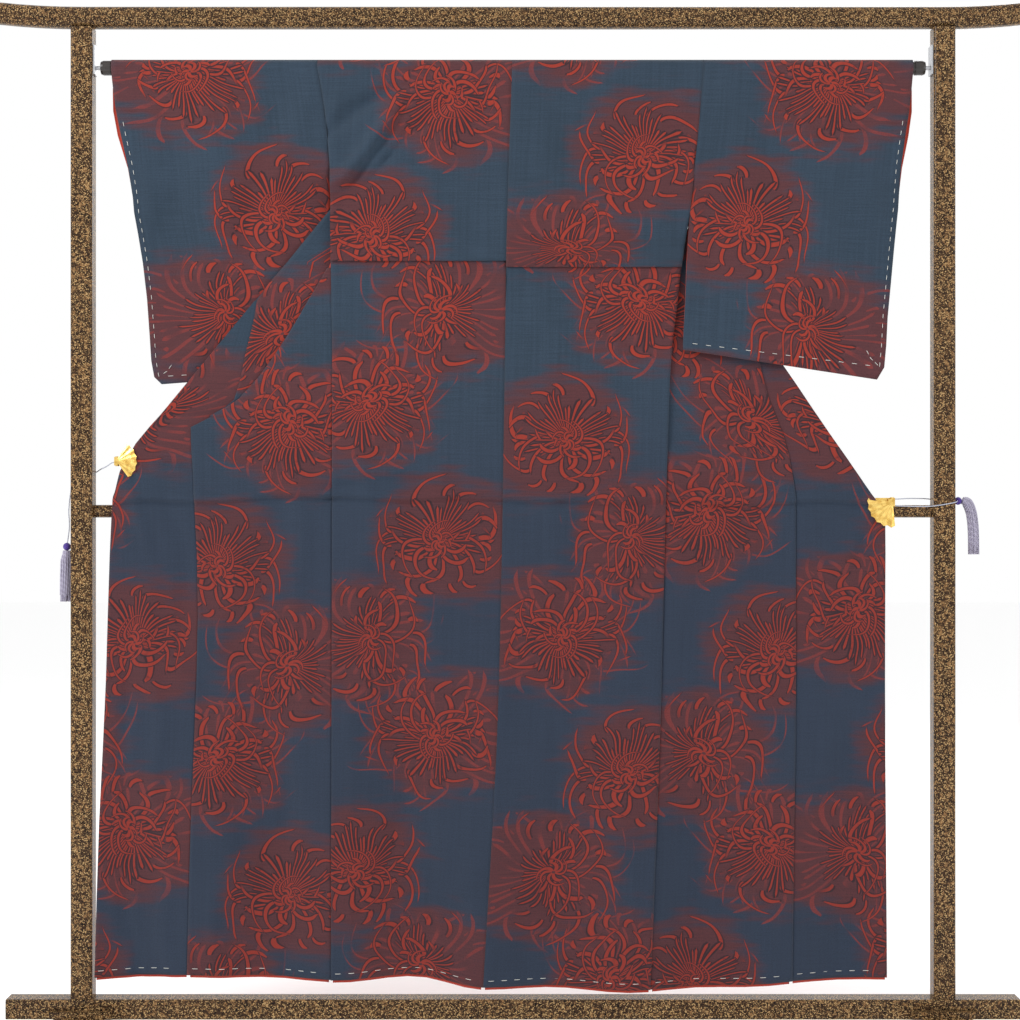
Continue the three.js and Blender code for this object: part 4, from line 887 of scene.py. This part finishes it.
def bound_knot(centre):
    """A ball wound with thread: a sphere whose radius has fine ridges that run slantwise round it."""
    turn = np.linspace(0, 2 * np.pi, 48, endpoint=False)[None]
    rise = np.linspace(-np.pi / 2, np.pi / 2, 26)[1:-1, None]
    ridge = 1 + 0.035 * np.cos(14 * rise + 2 * turn) + 0.02 * np.cos(5 * turn - 9 * rise)
    radius = KNOT_RADIUS * MM * ridge * 0.98
    rings = np.stack([radius * np.cos(rise) * np.cos(turn), radius * np.cos(rise) * np.sin(turn),
                      radius * np.sin(rise) + 0 * turn], axis=-1) + centre
    poles = [centre + np.array([0, 0, s * KNOT_RADIUS * MM * 0.97]) for s in (-1, 1)]
    return closed_rings(rings[:, ::-1], *poles)


tassels, knots = {}, {}
for name, facts in TASSELS.items():
    points, faces = strand_bundle(facts["route"], facts["radius"], facts["way"])
    tassels[name] = mesh_piece("tassel_strands_" + name, points, faces)
    centre = real([facts["knot"]], facts["way"])[0]
    points, faces = bound_knot(centre)
    knots[name] = mesh_piece("knot_wound_" + name, points, faces)
for piece in [*tassels.values(), *knots.values(), *basting.values(), *[cord for cord, _ in cords.values()]]:
    shape = bmesh.new()
    shape.from_mesh(piece.data)
    bmesh.ops.recalc_face_normals(shape, faces=shape.faces)
    shape.to_mesh(piece.data)
    shape.free()


# Shader building: values that can be added and multiplied, each a socket or a number

class Value:
    """A shader value. Python's operators on it add Math nodes to its tree."""
    tree = None

    def __init__(self, source):
        self.source = source

    @staticmethod
    def math(operation, *inputs):
        node = Value.tree.nodes.new("ShaderNodeMath")
        node.operation = operation
        for socket, value in zip(node.inputs, inputs):
            link(socket, value)
        return Value(node.outputs[0])

    def __add__(self, other): return Value.math("ADD", self, other)
    __radd__ = __add__
    def __sub__(self, other): return Value.math("SUBTRACT", self, other)
    def __rsub__(self, other): return Value.math("SUBTRACT", other, self)
    def __mul__(self, other): return Value.math("MULTIPLY", self, other)
    __rmul__ = __mul__
    def __truediv__(self, other): return Value.math("DIVIDE", self, other)
    def __gt__(self, other): return Value.math("GREATER_THAN", self, other)
    def __lt__(self, other): return Value.math("LESS_THAN", self, other)


def link(socket, value):
    """Feeds a socket from another socket or sets its constant."""
    source = value.source if isinstance(value, Value) else value
    if isinstance(source, bpy.types.NodeSocket):
        Value.tree.links.new(socket, source)
    elif hasattr(source, "__len__") and len(source) == 3 and socket.type == "RGBA":
        socket.default_value = (*source, 1)
    else:
        socket.default_value = source


def fract(v): return Value.math("FRACT", v)
def sine(v): return Value.math("SINE", v)
def cosine(v): return Value.math("COSINE", v)
def absolute(v): return Value.math("ABSOLUTE", v)
def floor(v): return Value.math("FLOOR", v)
def power(v, p): return Value.math("POWER", v, p)
def at_least(a, b): return Value.math("MAXIMUM", a, b)


def rise(low, high, value):
    """Smooth step from 0 at low to 1 at high."""
    node = Value.tree.nodes.new("ShaderNodeMapRange")
    node.interpolation_type = "SMOOTHSTEP"
    link(node.inputs["Value"], value)
    link(node.inputs["From Min"], low)
    link(node.inputs["From Max"], high)
    return Value(node.outputs[0])


def colours(share, a, b):
    """A colour between two, each a socket or three numbers."""
    node = Value.tree.nodes.new("ShaderNodeMix")
    node.data_type = "RGBA"
    link(node.inputs[0], share)
    link(node.inputs[6], a)
    link(node.inputs[7], b)
    return Value(node.outputs[2])


def noise(vector, scale, detail=2.0, rough=0.5):
    node = Value.tree.nodes.new("ShaderNodeTexNoise")
    link(node.inputs["Vector"], vector)
    node.inputs["Scale"].default_value = scale
    node.inputs["Detail"].default_value = detail
    node.inputs["Roughness"].default_value = rough
    return Value(node.outputs["Fac"])


def joined_vector(x, y):
    node = Value.tree.nodes.new("ShaderNodeCombineXYZ")
    for socket, value in zip(node.inputs, (x, y)):
        link(socket, value)
    return Value(node.outputs[0])


def parts_of(vector):
    node = Value.tree.nodes.new("ShaderNodeSeparateXYZ")
    link(node.inputs[0], vector)
    return [Value(output) for output in node.outputs]


def group(name, vector, numbers, outputs, build):
    """A node group: build takes one vector and the numbers as values and returns the outputs in order."""
    tree = bpy.data.node_groups.new(name, "ShaderNodeTree")
    tree.interface.new_socket(vector, in_out="INPUT", socket_type="NodeSocketVector")
    for way, titles in (("INPUT", numbers), ("OUTPUT", outputs)):
        for title in titles:
            tree.interface.new_socket(title, in_out=way, socket_type="NodeSocketFloat")
    Value.tree, before = tree, Value.tree
    entry = tree.nodes.new("NodeGroupInput")
    leave = tree.nodes.new("NodeGroupOutput")
    results = build(*[Value(entry.outputs[title]) for title in (vector, *numbers)])
    for title, result in zip(outputs, results):
        link(leave.inputs[title], result)
    Value.tree = before
    return tree


def use(tree, **values):
    """Places a group and returns its outputs."""
    node = Value.tree.nodes.new("ShaderNodeGroup")
    node.node_tree = tree
    for title, value in values.items():
        link(node.inputs[title.replace("_", " ")], value)
    return [Value(output) for output in node.outputs]


def material(name, build, bump=None, **constants):
    """A material: build returns (base colour, roughness, height or None) and constants go to the shader."""
    made = bpy.data.materials.new(name)
    made.use_nodes = True
    Value.tree = made.node_tree
    shader = made.node_tree.nodes["Principled BSDF"]
    base, rough, height = build()
    link(shader.inputs["Base Color"], base)
    link(shader.inputs["Roughness"], rough)
    if height is not None:
        node = made.node_tree.nodes.new("ShaderNodeBump")
        node.inputs["Distance"].default_value = bump
        link(node.inputs["Height"], height)
        made.node_tree.links.new(shader.inputs["Normal"], node.outputs[0])
    for title, value in constants.items():
        shader.inputs[title.replace("_", " ")].default_value = value
    return made


def coordinates(kind):
    node = Value.tree.nodes.new("ShaderNodeTexCoord")
    return Value(node.outputs[kind])


def petal_ring(vector, count, inner, outer, curl, width, towards, spread, jitter):
    """Petals round a centre: the angle turns by "curl" times the square of the share of the length, so a
    petal leaves the centre straight and hooks at its tip. Its fraction in each of "count" shares gives the
    distance from a petal's middle line, and a petal's half width follows its length.
    "towards" is the middle of the sector that has petals and "spread" the cosine of its half angle.
    Gives the petals, and the petals with a dark line round each."""
    x, y, _ = parts_of(vector)
    r = power(x * x + y * y, 0.5)
    angle = Value.math("ARCTAN2", y, x)
    whole = at_least((r - inner) / (outer - inner), 0.0)
    share = (angle + curl * whole * whole) * count / (2 * math.pi)
    chance = fract(sine(floor(share) * 12.9898) * 43758.5)
    length = outer * (1 - jitter * chance)
    t = (r - inner) / (length - inner)
    middle = 0.5 + (fract(chance * 7.3) - 0.5) * 0.34
    aside = absolute(fract(share) - middle) * (2 * math.pi) * r / count
    half = width * (0.75 + 0.5 * fract(chance * 3.7)) * (0.35 + 0.65 * power(at_least(t, 0.0), 0.8))
    half = half * (1 - rise(0.90, 1.0, t))
    inside = (t > 0) * (t < 1) * rise(spread - 0.12, spread + 0.12, cosine(angle - towards))
    return [(1 - rise(half * 0.8, half * 1.1 + 0.004, aside)) * inside,
            (1 - rise(half + 0.018, half + 0.040, aside)) * inside]


RING_COLUMNS = ("count", "inner", "outer", "curl", "width", "towards", "spread", "jitter")
PETALS = group("petal ring", "vector", RING_COLUMNS, ("petals", "outlined"), petal_ring)


def laid_rings(vector, rings):
    """Rings of petals laid over each other, each one's outline covering what lies under it. Gives the
    petals and their outlines."""
    petals, outlines = 0.0, 0.0
    for ring in rings:
        body, outlined = use(PETALS, vector=vector, **dict(zip(RING_COLUMNS, ring)))
        petals = at_least((1 - outlined) * petals, body)
        outlines = at_least(outlines, outlined)
    return [petals, outlines]


UP, DOWN_WAY = -math.pi / 2, math.pi / 2
# Each ring's values for RING_COLUMNS
DIM_RINGS = [
    (19, 0.86, 1.66, 0.55, 0.040, UP, -1.5, 0.45), (27, 0.30, 1.40, -0.45, 0.030, DOWN_WAY, -1.5, 0.5)]
WHORL_RINGS = [
    (17, 0.84, 1.30, 0.62, 0.066, UP, -0.45, 0.25), (15, 0.80, 1.24, -0.66, 0.066, DOWN_WAY, -0.30, 0.25),
    (46, 0.10, 1.00, 0.10, 0.016, DOWN_WAY, -0.55, 0.45), (12, 0.30, 1.06, -1.0, 0.050, UP, -0.15, 0.30),
    (9, 0.22, 0.80, 1.30, 0.052, UP, -0.35, 0.30), (8, 0.06, 0.46, -1.9, 0.048, UP, -1.5, 0.35),
    (6, 0.02, 0.22, 1.5, 0.050, 0.0, -1.5, 0.20)]
SIDE_RINGS = [
    (16, 0.82, 1.28, -0.66, 0.066, 0.0, -0.60, 0.25), (38, 0.14, 0.90, -0.15, 0.016, math.pi, -0.65, 0.40),
    (9, 0.30, 1.06, 1.1, 0.052, 0.0, -0.20, 0.30), (8, 0.16, 0.74, -1.3, 0.050, 0.0, -0.60, 0.35),
    (7, 0.03, 0.34, 1.7, 0.050, 0.0, -1.5, 0.30)]
WHORL, SIDE_FLOWER = [
    group(name, "vector", (), ("petals", "outlines"), lambda vector: laid_rings(vector, rings))
    for name, rings in (("whorl flower", WHORL_RINGS), ("side flower", SIDE_RINGS))]

PERIOD = 0.543
FLOWER_AT = (0.0, 0.225, 0.39)  # the three flowers' places down a period
COLUMN_NEAR, COLUMN_FAR = 0.105, 0.215
FLOWER_SIZE = 0.086
FLOWER_SWAY = 0.38


def flower_cloth(flat):
    """The cloth's repeat on its flat place: three flowers down each period, in alternate columns. Each
    one's own vector is the distance from its centre over its size, moved a little by a smooth noise. Gives
    bright petals, dim ones, dark outlines, and a haze that is broader towards the cloth's nearer edge."""
    u, v, _ = parts_of(flat)
    sway = (noise(flat, 13.0, 0.0) - 0.5) * FLOWER_SWAY
    lean = (noise(joined_vector(v, u), 15.0, 0.0) - 0.5) * FLOWER_SWAY
    streak = (noise(joined_vector(u * 14.0, v * 70.0), 1.0, 2.0) - 0.5) * 1.1
    bright, dim, dark, haze = 0.0, 0.0, 0.0, 0.0
    for kind, start in enumerate(FLOWER_AT):
        local = v - start + PERIOD / 2
        turn = floor(local / PERIOD)
        odd = fract((turn + kind) * 0.5) * 2
        centre = COLUMN_NEAR + (COLUMN_FAR - COLUMN_NEAR) * odd
        y = (local - turn * PERIOD - PERIOD / 2) / FLOWER_SIZE + sway
        x = (u - centre) / FLOWER_SIZE * (1 - 2 * odd) + lean
        if kind == 1:
            y = y * -1.0
        petals, outlines = use(SIDE_FLOWER if kind == 2 else WHORL, vector=joined_vector(x, y))
        bright = at_least((1 - outlines) * bright, petals)
        dark = at_least(dark, outlines)
        outward = at_least(x, x * 0.62)
        haze = at_least(1 - rise(0.92, 1.48, power(outward * outward + y * y, 0.5) + streak), haze)
        if kind != 1:
            dim = at_least(dim, laid_rings(joined_vector(outward, y), DIM_RINGS)[0])
    cloud = noise(flat, 16.0, 2.0)
    worn = noise(flat, 60.0, 2.0, 0.7)
    return [bright * rise(0.12, 0.42, worn), dim * rise(0.36, 0.56, cloud), dark, haze]


FLOWERS = group("flower repeat", "flat", (), ("bright", "dim", "dark", "haze"), flower_cloth)


def dot_weave(flat, pitch):
    """Rows of small dots, every other row moved by half a pitch: the product of two cosines on each row."""
    u, v, _ = parts_of(flat)
    row = floor(v / pitch * 2.0)
    x = (fract(u / pitch + row * 0.5) - 0.5) * 2.0
    y = (fract(v / pitch * 2.0) - 0.5) * 2.0
    dot = 1 - rise(0.25, 0.8, power(x * x + y * y * 0.7, 0.5))
    thread = sine(v / pitch * (8 * math.pi)) * 0.5 + 0.5
    return [dot, thread]


WEAVE = group("dot weave", "flat", ("pitch",), ("dot", "thread"), dot_weave)


def kimono_cloth():
    """Slate ground with slubs along both threads, darker towards the hem, then haze, dim petals, outlines
    and bright petals, all under the weave's dots."""
    flat = coordinates("UV")
    place = coordinates("Object")
    u, v, _ = parts_of(flat)
    bright, dim, dark, haze = use(FLOWERS, flat=flat)
    dot, thread = use(WEAVE, flat=flat, pitch=0.0022)
    patch = noise(place, 5.0, 3.0, 0.6)
    fleck = noise(flat, 420.0, 2.0, 0.6)
    weft = noise(joined_vector(u * 16.0, v * 620.0), 1.0, 1.0)
    warp = noise(joined_vector(u * 240.0, v * 7.0), 1.0, 1.0)
    low = 1 - rise(0.75, 1.15, parts_of(place)[2])
    slub = rise(0.3, 0.7, patch * 0.4 + weft * 0.35 + warp * 0.25)
    ground = colours(slub, (0.014, 0.030, 0.050), (0.027, 0.049, 0.080))
    ground = colours(low * 0.55, ground, (0.018, 0.024, 0.052))
    ground = colours(dot * 0.35, ground, (0.050, 0.080, 0.118))
    ground = colours(haze * 0.88, ground, colours(weft, (0.070, 0.016, 0.018), (0.120, 0.030, 0.030)))
    ground = colours(dim * 0.85, ground, (0.190, 0.030, 0.028))
    ground = colours(dark * (0.30 + haze * 0.50), ground, (0.016, 0.009, 0.014))
    red = colours(fleck, (0.215, 0.019, 0.010), (0.43, 0.043, 0.020))
    red = colours(dot * 0.25 + low * 0.15, red, (0.16, 0.022, 0.022))
    cloth = colours(bright * 0.96, ground, red)
    cloth = colours(rise(0.35, 0.8, fleck) * 0.30 + low * 0.10, cloth, (0.008, 0.009, 0.015))
    return cloth, 0.82 - dot * 0.12, dot * 0.5 + thread * 0.25 + fleck * 0.35


def silk_lining():
    flat = coordinates("UV")
    place = coordinates("Object")
    thread = sine(parts_of(flat)[1] * 5200.0) * 0.5 + 0.5
    patch = noise(place, 14.0, 3.0)
    red = colours(patch, (0.30, 0.017, 0.005), (0.40, 0.028, 0.008))
    return colours(thread * 0.12, red, (0.46, 0.055, 0.020)), 0.5, thread


def speckled_lacquer():
    """Brown lacquer with fine gold and black specks of several sizes."""
    place = coordinates("Object")
    fine = noise(place, 380.0, 2.0, 0.7)
    middle = noise(place, 190.0, 3.0, 0.7)
    broad = noise(place, 30.0, 3.0)
    base = colours(broad, (0.022, 0.011, 0.006), (0.060, 0.030, 0.014))
    base = colours(rise(0.50, 0.56, middle), base, (0.235, 0.125, 0.050))
    base = colours(rise(0.53, 0.57, fine), base, (0.006, 0.004, 0.003))
    base = colours(rise(0.59, 0.63, noise(place, 520.0, 1.0)), base, (0.42, 0.27, 0.12))
    return base, 0.16 + fine * 0.12, None


def dark_lacquer():
    place = coordinates("Object")
    streak = noise(place, 45.0, 4.0, 0.6)
    return colours(streak, (0.012, 0.011, 0.011), (0.045, 0.038, 0.034)), 0.22 + streak * 0.12, None


def gilt():
    place = coordinates("Object")
    grain = noise(place, 900.0, 2.0)
    wear = noise(place, 130.0, 3.0)
    return colours(rise(0.35, 0.7, wear), (0.86, 0.60, 0.18), (0.60, 0.36, 0.08)), 0.20 + grain * 0.14, grain


def satin_steel():
    place = coordinates("Object")
    grain = noise(place, 800.0, 2.0)
    return colours(grain, (0.42, 0.43, 0.45), (0.62, 0.63, 0.65)), 0.28 + grain * 0.15, grain


def twisted_thread(dark, light, pitch):
    """Thread whose bright and dark bands run slantwise, from a sine of the place along and across it."""
    def build():
        place = coordinates("Object")
        x, y, z = parts_of(place)
        band = sine((x + y * 0.8 + z * 1.3) * (2 * math.pi / pitch)) * 0.5 + 0.5
        patch = noise(place, 350.0, 2.0)
        return colours(band * 0.6 + patch * 0.4, dark, light), 0.72 - band * 0.15, band
    return build


MATERIALS = {
    "cloth": material("kimono cloth", kimono_cloth, 0.0004, Sheen_Weight=0.10, Sheen_Roughness=0.5,
                      Specular_IOR_Level=0.25),
    "lining": material("silk lining", silk_lining, 0.00015, Sheen_Weight=0.15, Sheen_Roughness=0.35,
                       Specular_IOR_Level=0.4),
    "lacquer": material("speckled lacquer", speckled_lacquer, Specular_IOR_Level=0.14),
    "dark_lacquer": material("dark lacquer", dark_lacquer, Coat_Weight=0.2, Coat_Roughness=0.1,
                             Specular_IOR_Level=0.3),
    "gilt": material("gilt", gilt, 0.0002, Metallic=1.0),
    "steel": material("satin steel", satin_steel, 0.0001, Metallic=1.0),
    "cord": material("grey cord", twisted_thread((0.28, 0.30, 0.38), (0.62, 0.64, 0.72), 0.0022), 0.0004),
    "knot": material("purple binding", twisted_thread((0.035, 0.018, 0.16), (0.12, 0.06, 0.40), 0.0018),
                     0.0004),
    "tassel": material("lilac threads", twisted_thread((0.30, 0.27, 0.38), (0.46, 0.43, 0.54), 0.011),
                       0.0002, Sheen_Weight=0.3),
    "thread": material("pale thread", twisted_thread((0.55, 0.55, 0.52), (0.82, 0.81, 0.76), 0.0016), 0.0002),
    "floor": material("floor", lambda: ((0.97, 0.97, 0.97), 0.8, None)),
}


# Finishes, bodies and what each piece stands for

def dress(piece, slot, *shown, node=None):
    """Rides on the root, shows the slot's material or the others given, and hides the node that it stands
    for.
    """
    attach(piece, "root")
    for name in shown or (slot,):
        piece.data.materials.append(MATERIALS[name])
    if node:
        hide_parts(node)


for node, piece in cloths.items():
    dress(piece, "cloth", *(["cloth"] if node.startswith("collar") else ["cloth", "lining"]), node=node)
for node, piece in linings.items():
    dress(piece, "lining", node=node)
for piece in basting.values():
    dress(piece, "cord", "thread")
for node, (piece, _) in cords.items():
    dress(piece, "cord", node=node)
for name in TASSELS:
    dress(tassels[name], "tassel", node="tassel_" + name)
    dress(knots[name], "knot", node="knot_" + name)

slots = {part["node"]: part["material_slot"] for part in frame["record"]["subparts"]}
for node, obj in frame["nodes"].items():
    obj.data.materials.clear()
    obj.data.materials.append(MATERIALS[slots[node]])

for name in SIDES:
    cloths["body_" + name]
    linings["hem_lining_back_" + name]
    linings["hem_lining_front_" + name]
    cloths["okumi_" + name]
    cloths["body_" + name]
    linings["hem_lining_okumi_" + name]
    cloths["sleeve_" + name]
    linings["mouth_lining_" + name]
    cloths["collar_end_" + name]
    cloths["body_" + name]

piece, path = cords["cord_left"]


# Floor and light

FLOOR = 14.0  # half its width
floor_mesh = bpy.data.meshes.new("floor")
floor_mesh.from_pydata([(x * FLOOR, y * FLOOR, 0) for x, y in ((-1, -1), (1, -1), (1, 1), (-1, 1))], [],
                       [(0, 1, 2, 3)])
floor = bpy.data.objects.new("floor", floor_mesh)
bpy.context.scene.collection.objects.link(floor)
floor_mesh.materials.append(MATERIALS["floor"])


def lamp(name, place, size, power_w, target):
    """A square area light that faces its target."""
    data = bpy.data.lights.new(name, "AREA")
    data.shape, data.size, data.energy = "SQUARE", size, power_w
    obj = bpy.data.objects.new(name, data)
    obj.location = place
    obj.rotation_euler = (Vector(target) - Vector(place)).to_track_quat("-Z", "Y").to_euler()
    bpy.context.scene.collection.objects.link(obj)


lamp("key", (-3.2, -2.6, 3.0), 1.6, 95, (0, 0, 0.9))
lamp("fill", (3.4, -3.2, 2.0), 2.4, 30, (0, 0, 0.8))
lamp("rear", (1.5, 3.2, 2.8), 2.5, 45, (0, 0, 1.0))
world = bpy.data.worlds.new("studio")
world.use_nodes = True
world.node_tree.nodes["Background"].inputs["Color"].default_value = (1, 1, 1, 1)
world.node_tree.nodes["Background"].inputs["Strength"].default_value = 1.0
bpy.context.scene.world = world
bpy.context.scene.view_settings.view_transform = "Standard"
